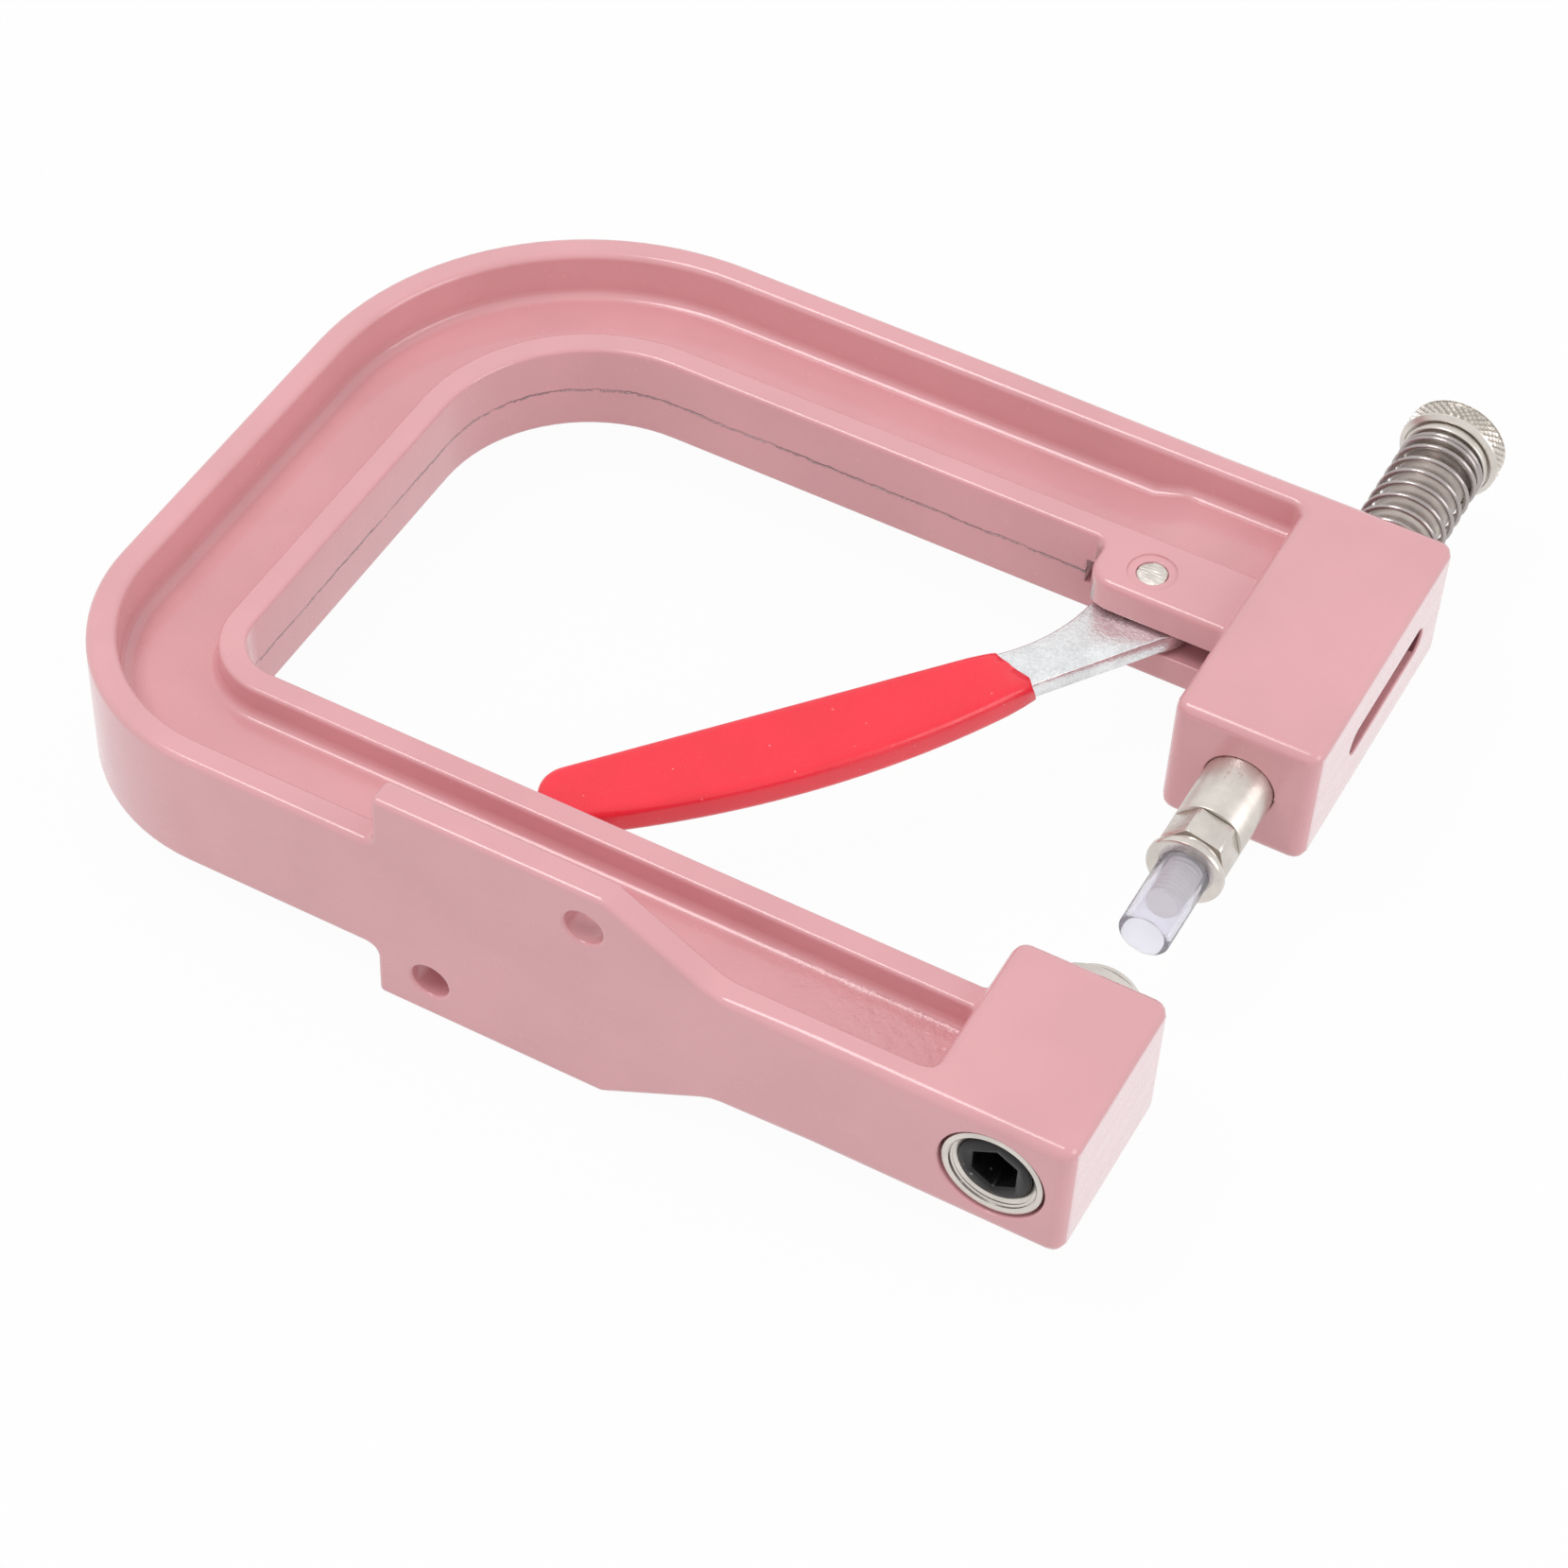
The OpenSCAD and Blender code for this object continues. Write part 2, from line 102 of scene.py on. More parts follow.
def colour(red, green, blue):
    """A colour written as 0 to 255 on screen, as the shader's linear one."""
    return tuple(
        (c / 255 / 12.92 if c <= 10 else ((c / 255 + 0.055) / 1.055) ** 2.4)
        for c in (red, green, blue)
    )


def tint(name, description, *rgb):
    """A colour that a user can change, written as 0 to 255 on screen."""
    return FloatVectorProperty(
        name=name, description=description, subtype="COLOR", size=3, min=0, max=1, default=colour(*rgb)
    )


def size(name, description, millimetres):
    """A length that a user can change."""
    return FloatProperty(
        name=name, description=description, default=millimetres * MM, min=0, precision=5, unit="LENGTH"
    )


# ---- Sizes and colours ----


class CastingLooks(bpy.types.PropertyGroup):
    block_radius: size("Block edges", "Rounding of the jaw blocks' edges", 1.8)
    outer_radius: size("Outer rim edges", "Rounding of the outer rims' edges", 1.1)
    rim_radius: size("Throat rim edges", "Rounding of the throat rims' and the lug's edges", 0.7)
    channel_radius: size("Channel fillet", "Fillet between the web and the rims", 1.6)
    joint_radius: size("Block fillet", "Fillet where rims and lug meet the blocks", 1.5)
    flange_radius: size("Foot edges", "Rounding of the foot flange's edges", 0.9)
    hole_radius: size("Hole edges", "Rounding of the edges of holes and slot", 0.3)
    draft: FloatProperty(
        name="Draft", description="Slope of the throat's walls from the parting line", default=math.radians(2.2),
        min=0, max=math.radians(5), subtype="ANGLE",
    )
    coat: tint("Coat", "Colour of the powder coat", 223, 163, 168)
    pit: tint("Pits", "Colour of the pits in the coat", 96, 44, 50)
    # The slot colour is painted shade for the recess of the lever's slot, laid over its thin coat
    slot: tint("Slot", "Colour of the thin coat inside the lever's slot", 112, 52, 60)


class LeverLooks(bpy.types.PropertyGroup):
    edge_radius: size("Plate edges", "Rounding of the stamped plate's edges", 0.3)
    grip_radius: size("Grip edges", "Rounding of the dipped grip's edges", 1.4)
    dip_slant: size("Dip line slant", "How much further the dip reaches on the front edge", 2.6)
    zinc: tint("Zinc", "Colour of the zinc plate", 228, 230, 231)
    vinyl: tint("Grip", "Colour of the dipped vinyl", 246, 38, 60)


class PlungerLooks(bpy.types.PropertyGroup):
    wire: size("Spring wire", "Diameter of the return spring's wire", 0.8)
    open_turns: FloatProperty(name="Open turns", description="Turns that stand apart", default=8.25, min=1)
    closed_turns: FloatProperty(name="Closed turns", description="Turns that lie close at the cap", default=2, min=0)
    knurls: IntProperty(name="Knurls", description="Diamonds around the cap", default=42, min=12)
    knurl_rows: IntProperty(name="Knurl rows", description="Rows of diamonds on the cap's rim", default=3, min=1)
    knurl_depth: size("Knurl depth", "Depth of the grooves between the diamonds", 0.42)
    thread_pitch: size("Punch thread", "Pitch of the punch stem's thread", 0.8)
    nickel: tint("Nickel", "Colour of the nickel plate", 214, 208, 201)
    grease: tint("Grease", "Colour of the grease stain on the shaft", 166, 122, 114)
    steel: tint("Spring steel", "Colour of the bare spring wire", 176, 168, 166)
    plastic: tint("Clear plastic", "Tint of the clear tube", 245, 244, 251)


class AnvilLooks(bpy.types.PropertyGroup):
    thread_pitch: size("Sleeve thread", "Pitch of the thread in the sleeve's bore", 1.5)
    oxide: tint("Black oxide", "Colour of the set screw", 20, 19, 21)


class StageLooks(bpy.types.PropertyGroup):
    ground: tint("Table", "Colour of the table", 226, 226, 226)
    sky: FloatProperty(name="Sky", description="Strength of the light from all round", default=0.72, min=0)
    key: FloatProperty(name="Key lamp", description="Power of the main lamp", default=3.55, min=0, unit="POWER")
    fill: FloatProperty(
        name="Side lamp", description="Power of the lamp in front of the jaws", default=1.8, min=0, unit="POWER"
    )
    lens: FloatProperty(name="Lens", description="Focal length", default=96.35, min=1, unit="CAMERA")


# ---- Materials ----

# Pale coat of the jaws' ground front faces, which is also a painted highlight
GROUND_COAT_AND_PAINTED_SHEEN = (colour(243, 218, 222), colour(249, 234, 237))
FLASH_AND_PAINTED_HIGHLIGHT = colour(250, 226, 228)
# Pale crumbs of flash below the parting line's crack, coloured as a painted highlight
VINYL_FLECK = colour(255, 190, 196)
OXIDE_SPECK = colour(150, 146, 144)


class Nodes:
    """A shader tree whose nodes are added one by one."""

    def __init__(self, tree):
        self.tree = tree

    def node(self, kind, inputs=None, **settings):
        made = self.tree.nodes.new("ShaderNode" + kind)
        for key, value in settings.items():
            setattr(made, key, value)
        for key, value in (inputs or {}).items():
            self.put(made.inputs[key], value)
        return made

    def put(self, socket, value):
        if isinstance(value, bpy.types.NodeSocket):
            self.tree.links.new(value, socket)
        else:
            socket.default_value = value

    def math(self, operation, a, b=0.0):
        return self.node("Math", {0: a, 1: b}, operation=operation).outputs[0]

    def seen(self):
        """1 for what the camera, a glossy surface or a clear piece sees, and 0 for light."""
        rays = self.node("LightPath").outputs
        bent = self.math("MAXIMUM", rays["Is Glossy Ray"], rays["Is Transmission Ray"])
        return self.math("MAXIMUM", rays["Is Camera Ray"], bent)


class Finish(Nodes):
    """A material on Object coordinates."""

    def __init__(self, name):
        self.material = bpy.data.materials.new(name)
        self.material.use_nodes = True
        super().__init__(self.material.node_tree)
        self.shader = self.tree.nodes["Principled BSDF"]
        self.coordinates = self.node("TexCoord").outputs
        self.place = self.coordinates["Object"]

    def set(self, **values):
        """Sets the shader's sockets, named with _ for a space."""
        for key, value in values.items():
            self.put(self.shader.inputs[key.replace("_", " ")], value)

    def above(self, value, level):
        return self.math("GREATER_THAN", value, level)

    def below(self, value, level):
        return self.math("LESS_THAN", value, level)

    def between(self, value, low, high):
        return self.times(self.above(value, low), self.below(value, high))

    def size_of(self, value):
        return self.math("ABSOLUTE", value)

    def times(self, *factors):
        return reduce(lambda first, second: self.math("MULTIPLY", first, second), factors)

    def noise(self, scale, detail=2.0, rough=0.5, stretch=None):
        """Noise whose scale is the number of blobs in a metre."""
        place = self.place
        if stretch:
            place = self.node("Mapping", {"Vector": place, "Scale": stretch}).outputs[0]
        made = self.node("TexNoise", {"Vector": place, "Scale": scale, "Detail": detail, "Roughness": rough})
        return made.outputs["Fac"]

    def remap(self, value, low, high, to_low=0.0, to_high=1.0):
        limits = {"Value": value, "From Min": low, "From Max": high, "To Min": to_low, "To Max": to_high}
        return self.node("MapRange", limits, clamp=True).outputs[0]

    def patches(self, low, high, scale, detail=2.0, rough=0.5, stretch=None):
        """Noise whose values from low to high are spread from 0 to 1."""
        return self.remap(self.noise(scale, detail, rough, stretch), low, high)

    def dots(self, scale, channel, level, inner, outer, widen=None):
        """Dots in the few cells of a pattern whose own random number, in a channel, passes a level."""
        cells = self.node("TexVoronoi", {"Vector": self.place, "Scale": scale}, feature="F1").outputs
        luck = self.node("SeparateColor", {0: cells["Color"]}).outputs
        distance = cells["Distance"]
        if widen:
            distance = self.math("DIVIDE", distance, self.remap(luck[1], *widen))
        return self.times(self.remap(distance, inner, outer, 1, 0), self.above(luck[channel], level))

    def mix(self, share, first, second):
        made = self.node("Mix", data_type="RGBA")
        self.put(made.inputs[0], share)
        for socket, value in ((made.inputs[6], first), (made.inputs[7], second)):
            self.put(socket, value if isinstance(value, bpy.types.NodeSocket) else (*value[:3], 1))
        return made.outputs[2]

    def axes(self):
        """The three object coordinates, in metres."""
        return self.node("SeparateXYZ", {0: self.place}).outputs

    def facing(self):
        """The three components of the surface's own normal."""
        return self.node("SeparateXYZ", {0: self.coordinates["Normal"]}).outputs

    def bump(self, height, distance, strength=1.0, under=None):
        inputs = {"Height": height, "Distance": distance, "Strength": strength}
        if under is not None:
            inputs["Normal"] = under
        return self.node("Bump", inputs).outputs[0]


def shade(rgb, factor):
    """A colour made lighter or darker."""
    return tuple(min(1, c * factor) for c in rgb)


def powder_coat(looks):
    """Gloss pink coat: orange peel, the casting's waves, pits, a ragged parting line and grinding streaks, with
    painted shade and painted highlights.
    """
    finish = Finish("powder_coat")
    x, y, z = finish.axes()
    nx, ny, nz = finish.facing()
    front_x = (span("frame")[1].x - 0.4) * MM
    jaw_x = front_x - (JAW_LENGTH + 0.2) * MM
    off_middle = finish.size_of(z)
    coat, dark = tuple(looks.coat), tuple(looks.pit)
    tone = finish.mix(finish.patches(0.35, 0.65, 55, 3), shade(coat, 0.96), shade(coat, 1.03))
    pits = finish.dots(150, 0, 0.86, 0.012, 0.02, widen=(0.7, 1, 1, 2.4))
    tone = finish.mix(finish.times(pits, 0.8), tone, dark)

    # Painted shade inside the lever's slot, which opens in the throat, the head and its front: the recess is coloured
    # darker as if in shade, and the coat there is also thin
    open_part = finish.math("MAXIMUM", finish.above(y, 91.8 * MM), finish.above(x, 62 * MM))
    painted_slot_shade = finish.times(
        finish.below(off_middle, (SLOT_HALF - 0.12) * MM), open_part, finish.between(y, 86.8 * MM, 112.5 * MM),
        finish.remap(x, 33.5 * MM, 36 * MM, 0, 0.85), finish.below(x, front_x),
    )
    tone = finish.mix(painted_slot_shade, tone, tuple(looks.slot))

    # The throat's parting line lies in the middle plane: a crack with crumbs of flash beside it, and a painted
    # highlight, a pale line just below the crack
    wall = finish.times(
        finish.between(y, 20.5 * MM, 100.2 * MM), finish.between(x, -56.2 * MM, jaw_x),
        finish.below(finish.size_of(nz), 0.5),
    )
    wander = finish.remap(finish.noise(150, 4, 0.75), 0.3, 0.7, -0.28 * MM, 0.28 * MM)
    line = finish.math("ADD", z, wander)
    faint = finish.remap(finish.noise(70, 2), 0.38, 0.6, 0.25, 1)
    crack = finish.times(finish.remap(finish.size_of(line), 0.05 * MM, 0.14 * MM, 1, 0), wall, faint)
    beside = finish.size_of(finish.math("ADD", line, 0.18 * MM))
    crumbs = finish.patches(0.46, 0.58, 900, 3, 0.7)
    flash_and_highlight = finish.times(finish.remap(beside, 0.06 * MM, 0.18 * MM, 1, 0), wall, crumbs)

    # The foot's face and the jaws' front faces are ground, with grinding streaks; the jaws' front faces are also
    # painted pale, a painted highlight for the light that falls on that side
    foot = finish.times(finish.above(finish.size_of(ny), 0.97), finish.below(y, 0.4 * MM))
    front = finish.times(finish.above(nx, 0.97), finish.above(x, front_x))
    grain = finish.patches(0.35, 0.65, 1, 3, 0.6, (30, 30, 500))
    tone = finish.mix(finish.times(front, 0.6), tone, finish.mix(grain, *GROUND_COAT_AND_PAINTED_SHEEN))
    along = finish.patches(0.42, 0.68, 1, 4, 0.6, (45, 45, 900))
    across = finish.patches(0.42, 0.68, 1, 4, 0.6, (60, 60, 1100))
    streaks = finish.math("ADD", finish.times(along, foot), finish.times(across, front))

    # The web is rippled where the lower channel ends
    channel_end = finish.times(
        finish.remap(x, 24 * MM, 44 * MM), finish.below(y, 19 * MM),
        finish.above(finish.size_of(nz), 0.8), finish.below(off_middle, 4 * MM),
    )
    ripple = finish.times(finish.noise(520, 3, 0.6), channel_end)

    normal = finish.bump(finish.noise(95, 2), 0.2 * MM, 0.4)
    normal = finish.bump(finish.noise(700, 2), 0.03 * MM, 0.25, normal)
    normal = finish.bump(ripple, 0.7 * MM, 0.8, normal)
    normal = finish.bump(streaks, 0.06 * MM, 0.6, normal)
    normal = finish.bump(pits, -0.1 * MM, 0.9, normal)
    normal = finish.bump(finish.math("SUBTRACT", flash_and_highlight, crack), 0.4 * MM, 1.0, normal)
    # Painted highlight: the raised flash below the crack is painted pale
    tone = finish.mix(finish.times(flash_and_highlight, 0.5), tone, FLASH_AND_PAINTED_HIGHLIGHT)
    tone = finish.mix(finish.times(crack, 0.6), tone, dark)
    rough = finish.remap(finish.noise(300, 3), 0.3, 0.7, 0.2, 0.28)
    finish.set(Base_Color=tone, Roughness=rough, Normal=normal, Coat_Weight=0.45, Coat_Roughness=0.05)
    return finish.material


def turned_metal(name, rgb, rough, stain=None, marks=(25, 1400, 25), depth=0.03):
    """Satin plate with turning marks, stretched along each axis as given and so many millimetres deep."""
    finish = Finish(name)
    base = tuple(rgb)
    tone = finish.mix(finish.patches(0.35, 0.65, 260, 4, 0.6), shade(base, 0.9), shade(base, 1.05))
    if stain is not None:
        # Grease clings to the top of the shaft's lower length, and fades inside the spring
        y = finish.axes()[1]
        rise = finish.remap(y, 70 * MM, 89 * MM, -0.13, 0.13)
        cling = finish.math("ADD", finish.noise(1, 5, 0.7, (300, 130, 300)), rise)
        fade = finish.remap(y, 92 * MM, 120 * MM, 0.8, 0.2)
        tone = finish.mix(finish.times(finish.remap(cling, 0.47, 0.55), fade), tone, tuple(stain))
    lines = finish.noise(1, 3, 0.6, marks)
    normal = finish.bump(lines, depth * MM, 0.6)
    normal = finish.bump(finish.patches(0.66, 0.8, 1500, 2), 0.03 * MM, 0.4, normal)
    sheen = finish.remap(lines, 0.3, 0.7, rough, rough + 0.12)
    finish.set(Base_Color=tone, Metallic=1.0, Roughness=sheen, Normal=normal)
    return finish.material


def zinc_plate(looks):
    """Bright zinc on stamped plate: grey mottling, grains and a few scuffs."""
    finish = Finish("zinc_plate")
    base = tuple(looks.zinc)
    cloud = finish.patches(0.36, 0.64, 230, 5, 0.7)
    grain = finish.patches(0.4, 0.66, 2300, 3, 0.6)
    scuffs = finish.patches(0.6, 0.75, 1, 3, 0.7, (120, 900, 400))
    tone = finish.mix(cloud, shade(base, 0.86), shade(base, 1.06))
    tone = finish.mix(finish.times(grain, 0.55), tone, shade(base, 1.25))
    normal = finish.bump(grain, 0.04 * MM, 0.5)
    normal = finish.bump(scuffs, 0.03 * MM, 0.5, normal)
    finish.set(Base_Color=tone, Metallic=0.9, Roughness=finish.remap(cloud, 0, 1, 0.3, 0.2), Normal=normal)
    return finish.material


def dipped_vinyl(looks):
    """Glossy dipped vinyl with soft runs, dust and pale flecks."""
    finish = Finish("dipped_vinyl")
    base = tuple(looks.vinyl)
    tone = finish.mix(finish.patches(0.35, 0.65, 90, 2), shade(base, 0.95), shade(base, 1.04))
    flecks = finish.dots(900, 1, 0.9, 0.06, 0.16)
    tone = finish.mix(finish.times(flecks, 0.5), tone, VINYL_FLECK)
    normal = finish.bump(finish.noise(140, 2), 0.2 * MM, 0.35)
    normal = finish.bump(finish.noise(1100, 2), 0.03 * MM, 0.35, normal)
    normal = finish.bump(flecks, 0.05 * MM, 0.6, normal)
    rough = finish.remap(finish.noise(400, 3), 0.3, 0.7, 0.24, 0.34)
    finish.set(Base_Color=tone, Roughness=rough, Normal=normal, Coat_Weight=0.25, Coat_Roughness=0.08)
    finish.set(Subsurface_Weight=0.08, Subsurface_Radius=(1.2 * MM, 0.3 * MM, 0.3 * MM), Subsurface_Scale=1.0)
    return finish.material


def clear_plastic(looks):
    """Frosted clear plastic with fine drawing lines."""
    finish = Finish("clear_plastic")
    base = tuple(looks.plastic)
    tone = finish.mix(finish.patches(0.35, 0.65, 300, 3), shade(base, 0.97), base)
    haze = finish.remap(finish.noise(500, 3), 0.3, 0.7, 0.04, 0.1)
    normal = finish.bump(finish.noise(1, 3, 0.6, (900, 60, 900)), 0.02 * MM, 0.4)
    finish.set(Base_Color=tone, Roughness=haze, Normal=normal, Transmission_Weight=0.8, IOR=1.09)
    return finish.material


def black_oxide(looks):
    """Oiled black oxide with pale specks."""
    finish = Finish("black_oxide")
    base = tuple(looks.oxide)
    tone = finish.mix(finish.patches(0.35, 0.65, 500, 4, 0.6), shade(base, 0.75), shade(base, 1.5))
    specks = finish.dots(800, 2, 0.86, 0.1, 0.25)
    tone = finish.mix(finish.times(specks, 0.7), tone, OXIDE_SPECK)
    normal = finish.bump(finish.noise(1200, 3), 0.03 * MM, 0.5)
    rough = finish.remap(finish.noise(600, 3), 0.3, 0.7, 0.2, 0.34)
    finish.set(Base_Color=tone, Metallic=0.3, Roughness=rough, Normal=normal)
    return finish.material


# ---- Mesh tools ----


def solid_copy(node):
    """The merged mesh of a solid, in millimetres, with its flat faces whole."""
    bm = bmesh.new()
    bm.from_mesh(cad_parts[node].data)
    bmesh.ops.scale(bm, vec=(1 / MM,) * 3, verts=bm.verts)
    bmesh.ops.remove_doubles(bm, verts=bm.verts, dist=0.001)
    bmesh.ops.dissolve_limit(bm, angle_limit=math.radians(0.6), verts=bm.verts, edges=bm.edges)
    return bm


def edges_in(geometry):
    return [part for part in geometry if isinstance(part, bmesh.types.BMEdge)]


def verts_in(geometry):
    return [part for part in geometry if isinstance(part, bmesh.types.BMVert)]


def face_outwards(bm):
    bmesh.ops.recalc_face_normals(bm, faces=bm.faces)


def fill(bm, rim):
    bmesh.ops.contextual_create(bm, geom=rim)


def draw(bm, points, closed=True):
    """Joins (radius, height) points in the plane of X and Y, and returns what was made."""
    verts = [bm.verts.new((radius, height, 0)) for radius, height in points]
    ends = verts[1:] + verts[:1] if closed else verts[1:]
    return verts + [bm.edges.new(pair) for pair in zip(verts, ends)]


def cut(bm, place, across, **sides):
    """Cuts a mesh with a plane, and clears the sides that are named."""
    bmesh.ops.bisect_plane(bm, geom=bm.verts[:] + bm.edges[:] + bm.faces[:], plane_co=place, plane_no=across, **sides)


def lathe(profile, steps=96):
    """Spins a closed profile of (radius, height) points about Y."""
    bm = bmesh.new()
    drawn = draw(bm, profile)
    bmesh.ops.spin(bm, geom=drawn, cent=(0, 0, 0), axis=(0, 1, 0), angle=math.tau, steps=steps, use_merge=True)
    bmesh.ops.remove_doubles(bm, verts=bm.verts, dist=0.0005)
    loose = [edge for edge in bm.edges if not edge.link_faces]
    bmesh.ops.delete(bm, geom=loose, context="EDGES")
    face_outwards(bm)
    return bm


def wind(bm, ring, turns, rise, steps_per_turn):
    """Winds a ring of edges on about Y, and returns the ring that it ends in."""
    steps = max(1, round(turns * steps_per_turn))
    corners = list(dict.fromkeys(vert for edge in ring for vert in edge.verts))
    made = bmesh.ops.spin(
        bm, geom=ring + corners, cent=(0, 0, 0), axis=(0, 1, 0), dvec=(0, rise / steps, 0),
        angle=math.tau * turns, steps=steps, use_merge=False,
    )
    return edges_in(made["geom_last"])


def coil(mean_radius, wire, low, high, open_turns, closed_turns, sides=12, steps_per_turn=36):
    """A coil about Y with its first turn laid down, open turns, and closed ones at its top."""
    laid_turns, laid_rise = 0.75, 0.35 * wire
    closed_rise = closed_turns * wire * 1.03
    open_rise = high - low - wire - closed_rise - laid_rise
    bm = bmesh.new()
    at = Matrix.Translation((mean_radius, low + wire / 2, 0))
    bmesh.ops.create_circle(bm, segments=sides, radius=wire / 2, matrix=at)
    first = last = bm.edges[:]
    for turns, rise in (
        (laid_turns, laid_rise), (open_turns - laid_turns, open_rise), (closed_turns, closed_rise),
    ):
        last = wind(bm, last, turns, rise, steps_per_turn)
    for end in (first, last):
        fill(bm, end)
    face_outwards(bm)
    return bm


def threaded_rod(radius, depth, pitch, low, high, steps=40):
    """A rod about Y with a real thread, cut square at both ends."""
    tooth = ((0, 0.0), (0, 0.1), (depth, 0.45), (depth, 0.65))
    teeth = math.ceil((high - low) / pitch) + 4
    start = low - 2 * pitch
    bm = bmesh.new()
    points = [(radius - depth + out, start + (i + up) * pitch) for i in range(teeth) for out, up in tooth]
    drawn = draw(bm, points, closed=False)
    bmesh.ops.spin(bm, geom=drawn, cent=(0, 0, 0), axis=(0, 1, 0), dvec=(0, pitch / steps, 0),
                   angle=math.tau, steps=steps, use_merge=False)
    bmesh.ops.remove_doubles(bm, verts=bm.verts, dist=0.002)
    for height, up in ((low, -1), (high, 1)):
        cut(bm, (0, height, 0), (0, up, 0), clear_outer=True)
        rim = [e for e in bm.edges if e.is_boundary and all(abs(v.co.y - height) < 0.001 for v in e.verts)]
        fill(bm, rim)
    face_outwards(bm)
    return bm


def add_ridge(bm, section, turns, pitch, steps_per_turn=40):
    """Winds a closed section of (radius, height) points into a closed ridge."""
    first = edges_in(draw(bm, section))
    last = wind(bm, first, turns, turns * pitch, steps_per_turn)
    for end in (first, last):
        fill(bm, end)
    face_outwards(bm)


def grow(bm, rim, radius, height):
    """Extrudes a round rim about Y to another radius and height, and returns the new rim."""
    made = bmesh.ops.extrude_edge_only(bm, edges=rim)["geom"]
    for vert in verts_in(made):
        out = Vector((vert.co.x, 0, vert.co.z)).normalized() * radius
        vert.co = (out.x, height, out.z)
    return edges_in(made)


def close(bm, rim, turnings):
    """Grows a rim through (radius, height) turnings, and closes it with a face."""
    for radius, height in turnings:
        rim = grow(bm, rim, radius, height)
    fill(bm, rim)


def round_size(node):
    """Radius, lowest and highest height of a round solid that stands along Y."""
    low, high = span(node)
    return (high.x - low.x) / 2, low.y, high.y


def centre_of(node):
    return sum(span(node), Vector()) / 2


def set_on_axis(bm, node):
    """Moves a mesh made about Y to the axis of a solid."""
    middle = centre_of(node)
    bmesh.ops.translate(bm, vec=(middle.x, 0, middle.z), verts=bm.verts)


def finish_piece(bm, name, node, body, slot, material, rounding=0, angle=35, segments=3, weights=False, sharp=40):
    """Turns a mesh in millimetres into a finished piece that stands for one solid."""
    mesh = bpy.data.meshes.new(name)
    bm.to_mesh(mesh)
    bm.free()
    piece = bpy.data.objects.new(name, mesh)
    bpy.context.scene.collection.objects.link(piece)
    if rounding:
        bevel = piece.modifiers.new("edges", "BEVEL")
        bevel.width = rounding
        bevel.segments = segments
        bevel.limit_method = "WEIGHT" if weights else "ANGLE"
        bevel.angle_limit = math.radians(angle)
        bevel.use_clamp_overlap = not weights
        bevel.miter_outer = "MITER_ARC" if weights else "MITER_SHARP"
        bevel.loop_slide = not weights
        bpy.context.view_layer.update()
        shaped = piece.evaluated_get(bpy.context.evaluated_depsgraph_get())
        mesh = bpy.data.meshes.new_from_object(shaped)
        piece.modifiers.clear()
        piece.data = mesh
    mesh.transform(Matrix.Scale(MM, 4))
    mesh.name = name
    mesh.shade_smooth()
    mesh.set_sharp_from_angle(angle=math.radians(sharp))
    mesh.materials.append(material)
    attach(piece, body)
    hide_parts(node)
    return piece


def turn_piece(profile, name, node, *rides, ridge=None, steps=96, **finishing):
    """Spins a profile, with a ridge wound on it where one is given, into a finished piece."""
    bm = lathe(profile, steps)
    if ridge:
        add_ridge(bm, *ridge)
    set_on_axis(bm, node)
    return finish_piece(bm, name, node, *rides, **finishing)


def weigh_normals(piece):
    """Lets large flat faces lead the shading at their rounded edges."""
    even = piece.modifiers.new("even_shading", "WEIGHTED_NORMAL")
    even.mode = "FACE_AREA"
    even.weight = 100
    even.keep_sharp = True


# ---- Casting ----


